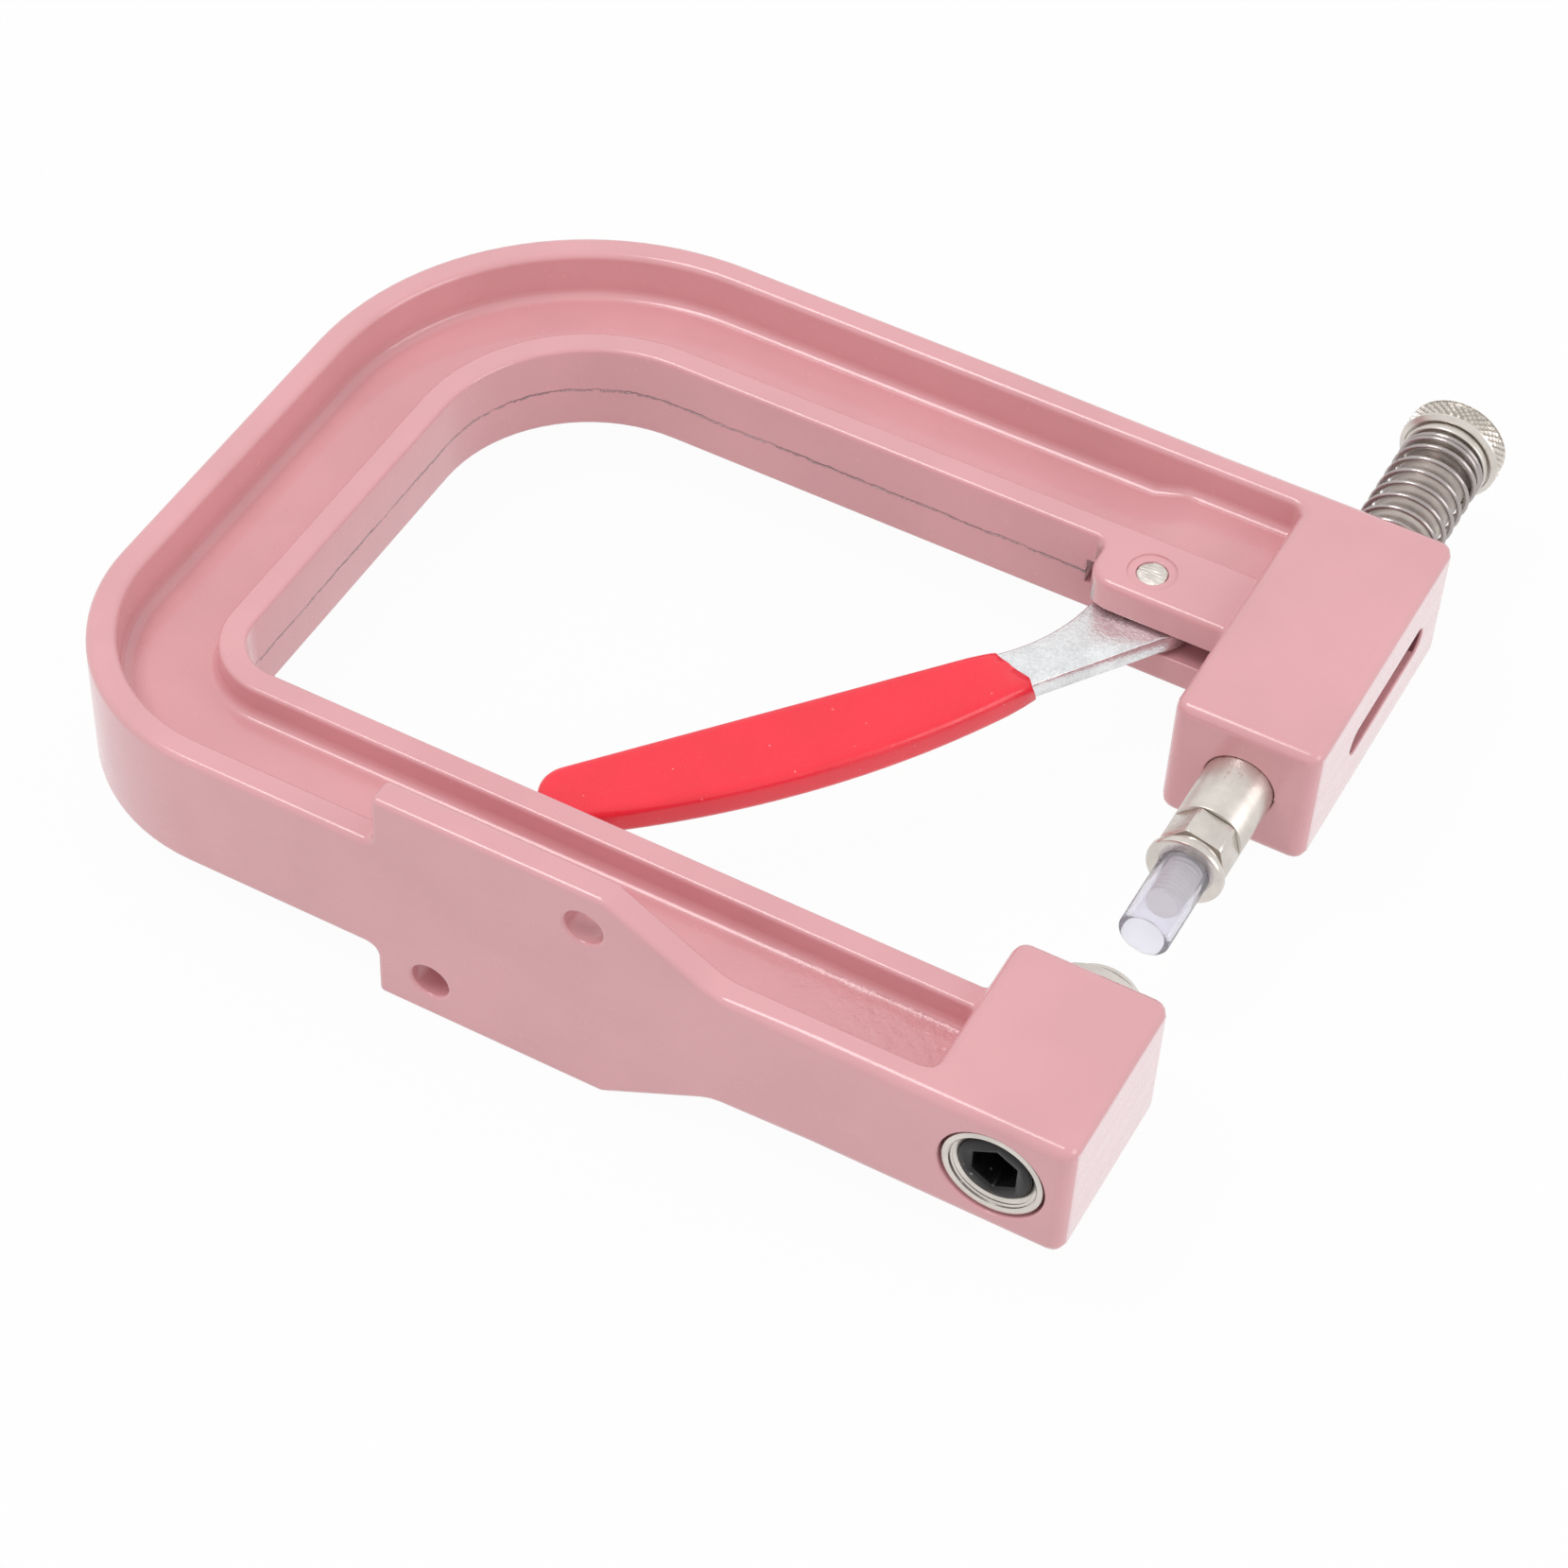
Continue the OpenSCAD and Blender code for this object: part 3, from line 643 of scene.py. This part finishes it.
class CastEdges:
    """How far each edge of the casting is rounded, in millimetres, told by its place and the way it turns."""

    CORNER_SHARE = 1.25
    LEAST_TURN = 25
    FACING_REACH = 3.8
    FACING_EDGE = 0.12
    JAW_FILLET = 0.8

    def __init__(self, looks):
        frame_high = span("frame")[1]
        self.pivot = centre_of("pivot_pin")
        self.axis_x = centre_of("plunger_shaft").x
        self.head_bore = round_size("plunger_shaft")[0] + BORE_GAP
        self.anvil_bore = round_size("anvil_sleeve")[0] + BORE_GAP
        self.front_x = frame_high.x
        self.jaw_x = frame_high.x - JAW_LENGTH
        self.hole = mm(looks.hole_radius)
        self.rim = mm(looks.rim_radius)
        self.outer = mm(looks.outer_radius)
        self.flange = mm(looks.flange_radius)
        self.block = mm(looks.block_radius)
        self.corner = self.block * self.CORNER_SHARE
        self.channel = mm(looks.channel_radius)
        self.joint = mm(looks.joint_radius)
        self.widest = max(self.channel, self.joint, self.corner)

    def radius(self, edge):
        if len(edge.link_faces) != 2:
            return 0
        turn = math.degrees(edge.calc_face_angle_signed())
        if abs(turn) < self.LEAST_TURN:
            return 0
        mid = (edge.verts[0].co + edge.verts[1].co) / 2
        along = (edge.verts[1].co - edge.verts[0].co).normalized()
        opening = self.at_opening(mid, along)
        if opening is not None:
            return opening if turn > 0 else 0
        upright = abs(along.z) > 0.9
        return self.outside(mid, upright) if turn > 0 else self.inside(mid, upright)

    def at_opening(self, mid, along):
        """Rounding of the rims of bores, holes and the slot, or None away from them."""
        level = abs(along.y) < 0.3
        off_middle = abs(mid.z)
        from_axis = math.hypot(mid.x - self.axis_x, mid.z)
        from_pivot = math.hypot(mid.x - self.pivot.x, mid.y - self.pivot.y)
        from_hole = min(math.hypot(mid.x - s * FOOT_HOLE_X, mid.z - s * FOOT_HOLE_Z) for s in (-1, 1))
        if abs(from_axis - self.head_bore) < 0.2 and mid.y > 70:
            return self.hole if level else 0
        if abs(from_axis - self.anvil_bore) < 0.2 and mid.y < 30:
            return self.hole
        if from_hole < 3:
            return self.hole * 1.8 if level else 0
        if from_pivot < self.FACING_REACH:
            return self.FACING_EDGE
        if off_middle < SLOT_HALF and mid.x > self.jaw_x - 1 and mid.y > 86.5:
            return 0 if self.jaw_x + 0.5 < mid.x < self.front_x - 0.1 else self.hole
        if off_middle < SLOT_HALF and mid.x > 30 and mid.y > 91:
            return self.hole if mid.y < 92.4 else 0
        return None

    def inside(self, mid, upright):
        """Fillets: narrow where two of them would meet on a jaw, wide along the web."""
        off_middle = abs(mid.z)
        if upright:
            return self.joint
        if off_middle > 7 and abs(mid.x - self.jaw_x) < 1:
            return self.JAW_FILLET
        return self.channel if off_middle < 3 else self.joint

    def outside(self, mid, upright):
        """Roundings: the foot flange, the blocks' corners and edges, the outer rims, and the throat's rims."""
        off_middle = abs(mid.z)
        on_foot = off_middle > 10.5 or (off_middle > 10.1 and mid.y < 4.3 and abs(mid.x) < 32)
        on_lug = off_middle > 7 and mid.x > 36 and 88 < mid.y < 99
        if on_foot:
            return self.flange
        if upright:
            return self.corner
        if mid.x > self.jaw_x - 1 and off_middle > 9:
            return self.block
        return self.outer if off_middle > 9 or on_lug else self.rim


class PEARLPRESS_OT_casting(bpy.types.Operator):
    """Dress the cast C frame: drafted walls, rounded and filleted edges, powder coat"""

    bl_idname = "pearl_press.casting"
    bl_label = "Casting"

    def execute(self, context):
        looks = context.scene.casting_looks
        edges = CastEdges(looks)
        bm = solid_copy("frame")
        self.part_flats(bm, (-FOOT_HOLE_X, FOOT_HOLE_X, edges.pivot.x))
        self.slope_walls(bm, math.tan(looks.draft))
        layer = bm.edges.layers.float.new("bevel_weight_edge")
        for edge in bm.edges:
            edge[layer] = edges.radius(edge) / edges.widest
        piece = finish_piece(bm, "cast_frame", "frame", "press_frame", "frame_coat", powder_coat(looks),
                             rounding=edges.widest, segments=4, weights=True, sharp=60)
        weigh_normals(piece)
        return {"FINISHED"}

    def part_flats(self, bm, stations):
        """Cuts flat faces through the middle of their holes only, so that every rounding ends on a clean edge."""
        planes = [(Vector((0, 0, 0)), Vector((0, 0, 1)))] + [(Vector((x, 0, 0)), Vector((1, 0, 0))) for x in stations]
        for place, across in planes:
            cut(bm, place, across)

        def on_cut(edge):
            return any(all(abs((v.co - place).dot(across)) < 0.001 for v in edge.verts) for place, across in planes)

        flat = [e for e in bm.edges if len(e.link_faces) == 2 and e.calc_face_angle(1) < 0.001 and not on_cut(e)]
        bmesh.ops.dissolve_edges(bm, edges=flat, use_verts=False)

    def drafted(self, face):
        """Whether a face is one of the throat's cast walls, and not the head's or the lug's."""
        centre = face.calc_center_median()
        in_throat = -55 < centre.x < 57.9 and 21 < centre.y < 99.7
        on_lug = centre.x > 36 and centre.y > 91
        faces_in = (Vector((0, 60, 0)) - centre).dot(face.normal) > 0
        return in_throat and not on_lug and abs(face.normal.z) < 0.3 and faces_in

    def slope_walls(self, bm, slope):
        """Leans the throat's walls back from their parting line."""
        moves = {}
        for vert in bm.verts:
            walls = [face for face in vert.link_faces if self.drafted(face)]
            if walls:
                out = sum((face.normal for face in walls), Vector())
                out.z = 0
                moves[vert] = -out.normalized() * abs(vert.co.z) * slope
        for vert, move in moves.items():
            vert.co += move


class PEARLPRESS_OT_pivot_pin(bpy.types.Operator):
    """Turn the pivot pin, with a chipped rim and a centre mark"""

    bl_idname = "pearl_press.pivot_pin"
    bl_label = "Pivot pin"

    def execute(self, context):
        looks = context.scene.plunger_looks
        low, high = span("pivot_pin")
        radius, half = (high.x - low.x) / 2, (high.z - low.z) / 2
        end = [(0, 0.12), (0.35, 0), (radius - 0.45, 0), (radius - 0.2, 0.03), (radius, 0.25)]
        profile = [(r, in_from_end - half) for r, in_from_end in end]
        bm = lathe(profile + [(r, -h) for r, h in reversed(profile)], 72)
        bmesh.ops.rotate(bm, matrix=Matrix.Rotation(math.radians(90), 3, "X"), verts=bm.verts)
        for vert in bm.verts:
            if radius - 0.3 < math.hypot(vert.co.x, vert.co.y) and abs(vert.co.z) > half - 0.3:
                chip = max(0, noise.noise(vert.co * 1.1) - 0.05) * 0.35
                vert.co.z -= math.copysign(chip, vert.co.z)
        bmesh.ops.translate(bm, vec=centre_of("pivot_pin"), verts=bm.verts)
        material = turned_metal("turned_pin", shade(looks.nickel, 1.1), 0.34, marks=(500, 1900, 500), depth=0.4)
        finish_piece(bm, "pivot_pin_turned", "pivot_pin", "press_frame", "plated_steel", material)
        return {"FINISHED"}


# ---- Lever ----


class PEARLPRESS_OT_lever(bpy.types.Operator):
    """Dress the stamped lever and dip its grip in vinyl"""

    bl_idname = "pearl_press.lever"
    bl_label = "Lever and grip"

    def execute(self, context):
        looks = context.scene.lever_looks
        finish_piece(solid_copy("lever_blade"), "stamped_lever", "lever_blade", "lever", "zinc_plate",
                     zinc_plate(looks), rounding=mm(looks.edge_radius), angle=50, segments=2)
        self.grip(looks)
        return {"FINISHED"}

    def grip(self, looks):
        """Raises the grip's outline, rounds it, cuts it at the dip line, and thins it to a ragged mouth there.

        It is made with the pivot at the origin and the handle along X, and then turned into its place.
        """
        low, high = span("lever_grip")
        pivot = centre_of("pivot_pin")
        handle_turn = math.radians(230.3)
        back, start, dip = 1.5, 18.0, 23.9
        bm = bmesh.new()
        face = self.outline(bm, start, back)
        raised = bmesh.ops.extrude_face_region(bm, geom=[face])["geom"]
        thick = high.z - low.z
        bmesh.ops.translate(bm, vec=(0, 0, thick), verts=verts_in(raised))
        bmesh.ops.translate(bm, vec=(0, 0, -thick / 2), verts=bm.verts)
        face_outwards(bm)
        rims = [e for e in bm.edges if abs(e.verts[0].co.z - e.verts[1].co.z) < 0.01]
        bmesh.ops.bevel(bm, geom=rims, offset=mm(looks.grip_radius), offset_type="OFFSET", segments=7, profile=0.5,
                        affect="EDGES", material=-1, clamp_overlap=False)
        for row in range(8):
            cut(bm, (0, back + 1.0 + 0.9 * row, 0), (0, 1, 0))
        for from_dip in (0.6, 1.4, 2.4, 3.8, 6, 10, 16, 22, 28, 34, 40, 46, 52, 58):
            cut(bm, (dip + from_dip, 0, 0), (1, 0, 0))
        mouth = Vector((dip, back, 0))
        slant = Vector((8.4, mm(looks.dip_slant), 0)).normalized()
        cut(bm, mouth, slant, clear_inner=True)
        rim = [e for e in bm.edges if e.is_boundary]
        fill(bm, rim)
        bmesh.ops.bevel(bm, geom=rim, offset=0.4, offset_type="OFFSET", segments=3, profile=0.5,
                        affect="EDGES", material=-1, clamp_overlap=True)
        taper, thin = 4, 0.74
        for vert in bm.verts:
            far = (vert.co - mouth).dot(slant)
            if far < taper:
                near = 1 - max(0, far) / taper
                vert.co.z *= thin + (1 - thin) * math.sqrt(1 - near)
                ragged = noise.noise(Vector((vert.co.y * 0.45, vert.co.z * 0.5, 3.1))) * 0.9
                vert.co += slant * ragged * near
        place = Matrix.Translation(pivot) @ Matrix.Rotation(handle_turn, 4, "Z")
        bmesh.ops.transform(bm, matrix=place, verts=bm.verts)
        finish_piece(bm, "dipped_grip", "lever_grip", "lever", "red_grip", dipped_vinyl(looks), sharp=50)

    def outline(self, bm, start, back):
        """Walks round the handle: its straight back, its round end and its bowed front."""
        width, bow, end_radius, length = 12.5, 142.0, 4.7, 86.03
        bow_x, bow_y = length - 29.5, back + width - bow
        runs = 24
        first = last = bm.verts.new((start, back, 0))
        for run in range(1, runs + 1):
            last = bmesh.ops.extrude_vert_indiv(bm, verts=[last])["verts"][0]
            last.co = (start + (length - start) * run / runs, back, 0)
        made = bmesh.ops.spin(bm, geom=[last], cent=(length, back + end_radius, 0), axis=(0, 0, 1),
                              angle=math.pi * 0.985, steps=22)
        last = verts_in(made["geom_last"])[0]
        sweep = math.acos((start - bow_x) / bow) - math.atan2(last.co.y - bow_y, last.co.x - bow_x)
        made = bmesh.ops.spin(bm, geom=[last], cent=(bow_x, bow_y, 0), axis=(0, 0, 1), angle=sweep, steps=40)
        bm.edges.new((verts_in(made["geom_last"])[0], first))
        return bmesh.ops.contextual_create(bm, geom=bm.edges[:])["faces"][0]


# ---- Plunger ----


class PEARLPRESS_OT_plunger(bpy.types.Operator):
    """Dress the shaft, wind its return spring, and turn the washer and the knurled cap"""

    bl_idname = "pearl_press.plunger"
    bl_label = "Plunger, spring and cap"

    def execute(self, context):
        looks = context.scene.plunger_looks
        nickel = turned_metal("nickel_plate", looks.nickel, 0.22)
        greased = turned_metal("greased_shaft", looks.nickel, 0.3, stain=looks.grease)
        finish_piece(solid_copy("plunger_shaft"), "ground_shaft", "plunger_shaft", "plunger", "plated_steel",
                     greased, rounding=0.15, angle=50, segments=2)
        self.spring(looks)
        self.washer(nickel)
        self.cap(looks, nickel)
        return {"FINISHED"}

    def spring(self, looks):
        radius, low, high = round_size("return_spring")
        wire = mm(looks.wire)
        bm = coil(radius - wire / 2, wire, low, high, looks.open_turns, looks.closed_turns)
        set_on_axis(bm, "plunger_shaft")
        material = turned_metal("spring_wire", looks.steel, 0.15, marks=(25, 2600, 25))
        piece = finish_piece(bm, "wound_return_spring", "return_spring", "press_frame", "spring_steel", material)
        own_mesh(piece)

    def washer(self, nickel):
        radius, low, high = round_size("spring_washer")
        bore = 3.05
        turn_piece([(bore, low), (radius, low), (radius, high), (bore, high)], "turned_washer", "spring_washer",
                   "plunger", "plated_steel", nickel, rounding=0.25)

    def cap(self, looks, nickel):
        """A ring of faces is poked, which leaves diamonds between the pokes, and each diamond is raised."""
        radius, low, high = round_size("knurled_cap")
        depth = mm(looks.knurl_depth)
        root = radius - depth
        from_y, to_y = low + 0.75, high - 0.5
        bm = bmesh.new()
        turn = Matrix.Translation((0, from_y, 0)) @ Matrix.Rotation(math.radians(90), 4, "X")
        bmesh.ops.create_circle(bm, segments=looks.knurls, radius=root, matrix=turn)
        rim = bm.edges[:]
        for row in range(1, looks.knurl_rows + 1):
            rim = grow(bm, rim, root, from_y + (to_y - from_y) * row / looks.knurl_rows)
        face_outwards(bm)
        first = bm.faces[:][0]
        if first.normal.xz.dot(first.calc_center_median().xz) < 0:
            bmesh.ops.reverse_faces(bm, faces=bm.faces)
        grid = [e for e in bm.edges if len(e.link_faces) == 2]
        tips = bmesh.ops.poke(bm, faces=bm.faces[:])["verts"]
        bmesh.ops.dissolve_edges(bm, edges=[e for e in grid if e.is_valid], use_verts=False)
        for tip in tips:
            out = Vector((tip.co.x, 0, tip.co.z)).normalized() * (root + 0.22 * noise.noise(tip.co * 0.9))
            tip.co = (out.x, tip.co.y + 0.15 * noise.noise(tip.co * 1.3), out.z)
        diamonds = [f for f in bm.faces if len(f.verts) == 4]
        bmesh.ops.inset_individual(bm, faces=diamonds, thickness=0.2, depth=depth * 0.9, use_even_offset=True)
        bottom = [e for e in bm.edges if e.is_boundary and e.verts[0].co.y < from_y + 0.05]
        top = [e for e in bm.edges if e.is_boundary and e.verts[0].co.y > to_y - 0.05]
        close(bm, bottom, ((radius - 0.05, from_y - 0.1), (radius - 0.12, from_y - 0.28), (radius - 0.75, low),
                           (6.6, low), (6.5, low + 0.12), (3.2, low + 0.12)))
        close(bm, top, ((radius - 0.15, to_y + 0.05), (radius - 0.55, high), (0.8, high), (0.5, high - 0.2)))
        face_outwards(bm)
        set_on_axis(bm, "knurled_cap")
        finish_piece(bm, "diamond_knurled_cap", "knurled_cap", "plunger", "plated_steel", nickel, sharp=28)


# ---- Pearl holder ----


class PEARLPRESS_OT_pearl_holder(bpy.types.Operator):
    """Turn the die holder, collar, clear tube and threaded punch stem"""

    bl_idname = "pearl_press.pearl_holder"
    bl_label = "Pearl holder"

    def execute(self, context):
        looks = context.scene.plunger_looks
        nickel = turned_metal("holder_plate", looks.nickel, 0.2)
        self.holder(nickel)
        self.collar(nickel)
        self.tube(looks)
        self.punch(looks)
        return {"FINISHED"}

    def holder(self, nickel):
        """The hex ends a hair below the shaft, which leaves the dark seam of two screwed parts."""
        seam, spigot_radius = 0.16, 3.6
        axis_x, shaft_end = centre_of("plunger_shaft").x, span("plunger_shaft")[0].y
        bm = solid_copy("die_holder")
        for vert in bm.verts:
            if abs(vert.co.y - shaft_end) < 0.02 and math.hypot(vert.co.x - axis_x, vert.co.z) > spigot_radius:
                vert.co.y -= seam
        finish_piece(bm, "spanner_flat_holder", "die_holder", "plunger", "plated_steel", nickel,
                     rounding=0.12, angle=28, segments=2)

    def collar(self, nickel):
        radius, low, high = round_size("tube_collar")
        bore = 3.6
        profile = [(bore, low + 0.1), (bore + 0.15, low), (radius - 0.35, low), (radius - 0.1, low + 0.12),
                   (radius, low + 0.4), (radius, high - 0.4), (radius - 0.1, high - 0.12), (radius - 0.35, high),
                   (bore, high)]
        turn_piece(profile, "rolled_collar", "tube_collar", "plunger", "plated_steel", nickel)

    def tube(self, looks):
        """The tube's low end has a full round lip."""
        radius, low, high = round_size("pearl_tube")
        bore = 2.8
        lip = (radius - bore) / 2
        turns = [math.pi * (1 - i / 8) for i in range(1, 8)]
        rounded = [(bore + lip + lip * math.cos(a), low + lip - lip * math.sin(a)) for a in turns]
        profile = [(bore, low + lip), *rounded, (radius, low + lip), (radius, high), (bore, high)]
        turn_piece(profile, "clear_pearl_tube", "pearl_tube", "plunger", "clear_plastic", clear_plastic(looks))

    def punch(self, looks):
        radius, low, high = round_size("punch_stem")
        thread_depth = 0.4
        bm = threaded_rod(radius, thread_depth, mm(looks.thread_pitch), low, high)
        set_on_axis(bm, "punch_stem")
        material = turned_metal("punch_steel", looks.nickel, 0.34, marks=(25, 2000, 25))
        finish_piece(bm, "threaded_punch_stem", "punch_stem", "plunger", "dark_steel", material, sharp=30)


# ---- Anvil ----


class PEARLPRESS_OT_anvil(bpy.types.Operator):
    """Turn the anvil's sleeve and die, its sprung centring pin and the set screw under them"""

    bl_idname = "pearl_press.anvil"
    bl_label = "Anvil"

    def execute(self, context):
        looks = context.scene.plunger_looks
        anvil = context.scene.anvil_looks
        nickel = turned_metal("anvil_plate", looks.nickel, 0.22)
        self.sleeve(anvil, nickel)
        self.die(nickel)
        self.pin(nickel)
        self.pin_spring(looks)
        finish_piece(solid_copy("set_screw"), "socket_set_screw", "set_screw", "press_frame", "dark_steel",
                     black_oxide(anvil), rounding=0.4, angle=50, segments=2)
        return {"FINISHED"}

    def sleeve(self, anvil, nickel):
        """Its mouth has a ring, a groove outside the ring, and the end of the thread inside it."""
        radius, low, high = round_size("anvil_sleeve")
        bore = 5.05
        groove = radius - 0.28
        mouth = [(bore, low + 1.3), (bore + 0.25, low + 1.0), (bore + 0.85, low + 0.62), (bore + 0.95, low + 0.2),
                 (bore + 1.15, low), (radius - 0.65, low), (radius - 0.36, low + 0.12)]
        outside = [(groove, low + 0.4), (groove, low + 1.2), (radius, low + 1.4), (radius, high - 0.25),
                   (radius - 0.25, high), (bore + 0.15, high), (bore, high - 0.2)]
        pitch = mm(anvil.thread_pitch) * 0.35
        start, crest, root = low + 0.3, bore + 0.62, bore + 1.0
        tooth = [(root, start), (root, start + pitch * 0.8),
                 (crest, start + pitch * 0.5), (crest, start + pitch * 0.3)]
        turn_piece(mouth + outside, "threaded_anvil_sleeve", "anvil_sleeve", "press_frame", "plated_steel", nickel,
                   ridge=(tooth, 1.3, pitch), sharp=30)

    def die(self, nickel):
        """A cup for the rivet above a neck with a thread, and a chamber for the centring pin below."""
        radius, low, high = round_size("anvil_die")
        hole, chamber, chamber_y = 1.05, 2.25, high - 5
        root = radius - 0.45
        cup = [(hole, high - 0.8), (1.5, high - 0.8), (2.4, high - 0.5), (3, high), (radius - 0.3, high)]
        neck = [(radius, high - 0.3), (radius, high - 0.7), (root, high - 1), (root, high - 3.6),
                (radius, high - 3.8)]
        inside = [(radius, low), (chamber, low), (chamber, chamber_y), (hole, chamber_y)]
        start = high - 3.9
        tooth = [(root - 0.1, start), (root - 0.1, start + 1), (radius, start + 0.6), (radius, start + 0.4)]
        turn_piece(cup + neck + inside, "cupped_anvil_die", "anvil_die", "press_frame", "dark_steel", nickel,
                   ridge=(tooth, 1.7, 1.25), sharp=30)

    def pin(self, nickel):
        shoulder, low, high = round_size("centring_pin")
        profile = [(0, low), (shoulder - 0.1, low), (shoulder, low + 0.1), (shoulder, low + 0.9),
                   (shoulder - 0.1, low + 1), (1, low + 1), (1, high - 0.45), (0.85, high - 0.2), (0.5, high - 0.04),
                   (0, high)]
        turn_piece(profile, "turned_centring_pin", "centring_pin", "pin", "plated_steel", nickel, steps=64, sharp=45)

    def pin_spring(self, looks):
        radius, low, high = round_size("pin_spring")
        wire = 0.4
        bm = coil(radius - wire / 2, wire, low, high, open_turns=5, closed_turns=1, sides=8, steps_per_turn=28)
        set_on_axis(bm, "centring_pin")
        material = turned_metal("pin_spring_wire", looks.steel, 0.15, marks=(25, 2600, 25))
        piece = finish_piece(bm, "wound_pin_spring", "pin_spring", "press_frame", "spring_steel", material)
        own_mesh(piece)


# ---- Stage ----


class PEARLPRESS_OT_stage(bpy.types.Operator):
    """Lay the white table, and set the lamps, the sky and the camera"""

    bl_idname = "pearl_press.stage"
    bl_label = "Table, lamps and camera"

    def execute(self, context):
        looks = context.scene.stage_looks
        self.table(looks)
        self.sky(context.scene, looks)
        centre = Vector((0.005, 0.062, 0))
        self.lamp("key_lamp", (-0.31, -0.19, 1.0), centre, 0.4, looks.key)
        self.lamp("side_lamp", (0.9, 0.15, 0.35), centre, 0.5, looks.fill)
        self.camera(context.scene, looks)
        return {"FINISHED"}

    def table(self, looks):
        """A matt table that keeps a trace of its shadow, and is white to whatever looks at it."""
        seen_share, gap = 0.96, 0.2 * MM
        bm = bmesh.new()
        bmesh.ops.create_grid(bm, x_segments=8, y_segments=8, size=3)
        bmesh.ops.translate(bm, vec=(0, 0, SOLIDS_BOX[0][2] - gap), verts=bm.verts)
        mesh = bpy.data.meshes.new("table")
        bm.to_mesh(mesh)
        bm.free()
        table = bpy.data.objects.new("table", mesh)
        bpy.context.scene.collection.objects.link(table)
        finish = Finish("table_white")
        finish.tree.nodes.remove(finish.shader)
        matt = finish.node("BsdfDiffuse", {"Color": (*looks.ground, 1)}).outputs[0]
        white = finish.node("Emission", {"Color": WHITE, "Strength": 1.0}).outputs[0]
        share = finish.times(finish.seen(), seen_share)
        mixed = finish.node("MixShader", {0: share, 1: matt, 2: white}).outputs[0]
        finish.put(finish.tree.nodes["Material Output"].inputs["Surface"], mixed)
        mesh.materials.append(finish.material)

    def sky(self, scene, looks):
        """Plain light from all round, and white to whatever looks at it."""
        world = bpy.data.worlds.new("white_room")
        world.use_nodes = True
        nodes = Nodes(world.node_tree)
        lit = nodes.tree.nodes["Background"]
        nodes.put(lit.inputs["Color"], WHITE)
        nodes.put(lit.inputs["Strength"], looks.sky)
        white = nodes.node("Background", {"Color": WHITE, "Strength": 1.0}).outputs[0]
        mixed = nodes.node("MixShader", {0: nodes.seen(), 1: lit.outputs[0], 2: white}).outputs[0]
        nodes.put(nodes.tree.nodes["World Output"].inputs["Surface"], mixed)
        scene.world = world

    def lamp(self, name, place, towards, side, power):
        light = bpy.data.lights.new(name, "AREA")
        light.shape = "SQUARE"
        light.size = side
        light.energy = power
        lamp = bpy.data.objects.new(name, light)
        lamp.location = place
        lamp.rotation_euler = (Vector(place) - towards).to_track_quat("Z", "Y").to_euler()
        bpy.context.scene.collection.objects.link(lamp)

    def camera(self, scene, looks):
        right = Vector((0.87931, 0.47464, 0.03909))
        up = Vector((-0.37758, 0.64477, 0.66461))
        place = (0.17697, -0.28716, 0.41193)
        view = bpy.data.cameras.new("view")
        view.lens = looks.lens
        view.sensor_width = 36
        view.clip_start = 0.01
        camera = bpy.data.objects.new("view", view)
        turn = Matrix((right, up, right.cross(up))).transposed()
        camera.matrix_world = Matrix.Translation(place) @ turn.to_4x4()
        scene.collection.objects.link(camera)
        scene.camera = camera
        scene.view_settings.view_transform = "Standard"


# ---- Add-on ----


class PEARLPRESS_PT_sidebar(bpy.types.Panel):
    bl_idname = "PEARLPRESS_PT_sidebar"
    bl_label = "Pearl press"
    bl_space_type = "VIEW_3D"
    bl_region_type = "UI"
    bl_category = "Pearl press"

    def draw(self, context):
        for group, kind, operators in PANEL:
            box = self.layout.box()
            for name in kind.__annotations__:
                box.prop(getattr(context.scene, group), name)
            for operator in operators:
                box.operator(operator.bl_idname)


PANEL = (
    ("casting_looks", CastingLooks, (PEARLPRESS_OT_casting, PEARLPRESS_OT_pivot_pin)),
    ("lever_looks", LeverLooks, (PEARLPRESS_OT_lever,)),
    ("plunger_looks", PlungerLooks, (PEARLPRESS_OT_plunger, PEARLPRESS_OT_pearl_holder)),
    ("anvil_looks", AnvilLooks, (PEARLPRESS_OT_anvil,)),
    ("stage_looks", StageLooks, (PEARLPRESS_OT_stage,)),
)


def register():
    for group, kind, operators in PANEL:
        bpy.utils.register_class(kind)
        setattr(bpy.types.Scene, group, PointerProperty(type=kind))
        for operator in operators:
            bpy.utils.register_class(operator)
    bpy.utils.register_class(PEARLPRESS_PT_sidebar)


def unregister():
    bpy.utils.unregister_class(PEARLPRESS_PT_sidebar)
    for group, kind, operators in reversed(PANEL):
        for operator in reversed(operators):
            bpy.utils.unregister_class(operator)
        delattr(bpy.types.Scene, group)
        bpy.utils.unregister_class(kind)


def main():
    register()
    bpy.ops.pearl_press.casting()
    bpy.ops.pearl_press.pivot_pin()
    bpy.ops.pearl_press.lever()
    bpy.ops.pearl_press.plunger()
    bpy.ops.pearl_press.pearl_holder()
    bpy.ops.pearl_press.anvil()
    bpy.ops.pearl_press.stage()


if __name__ == "__main__":
    main()
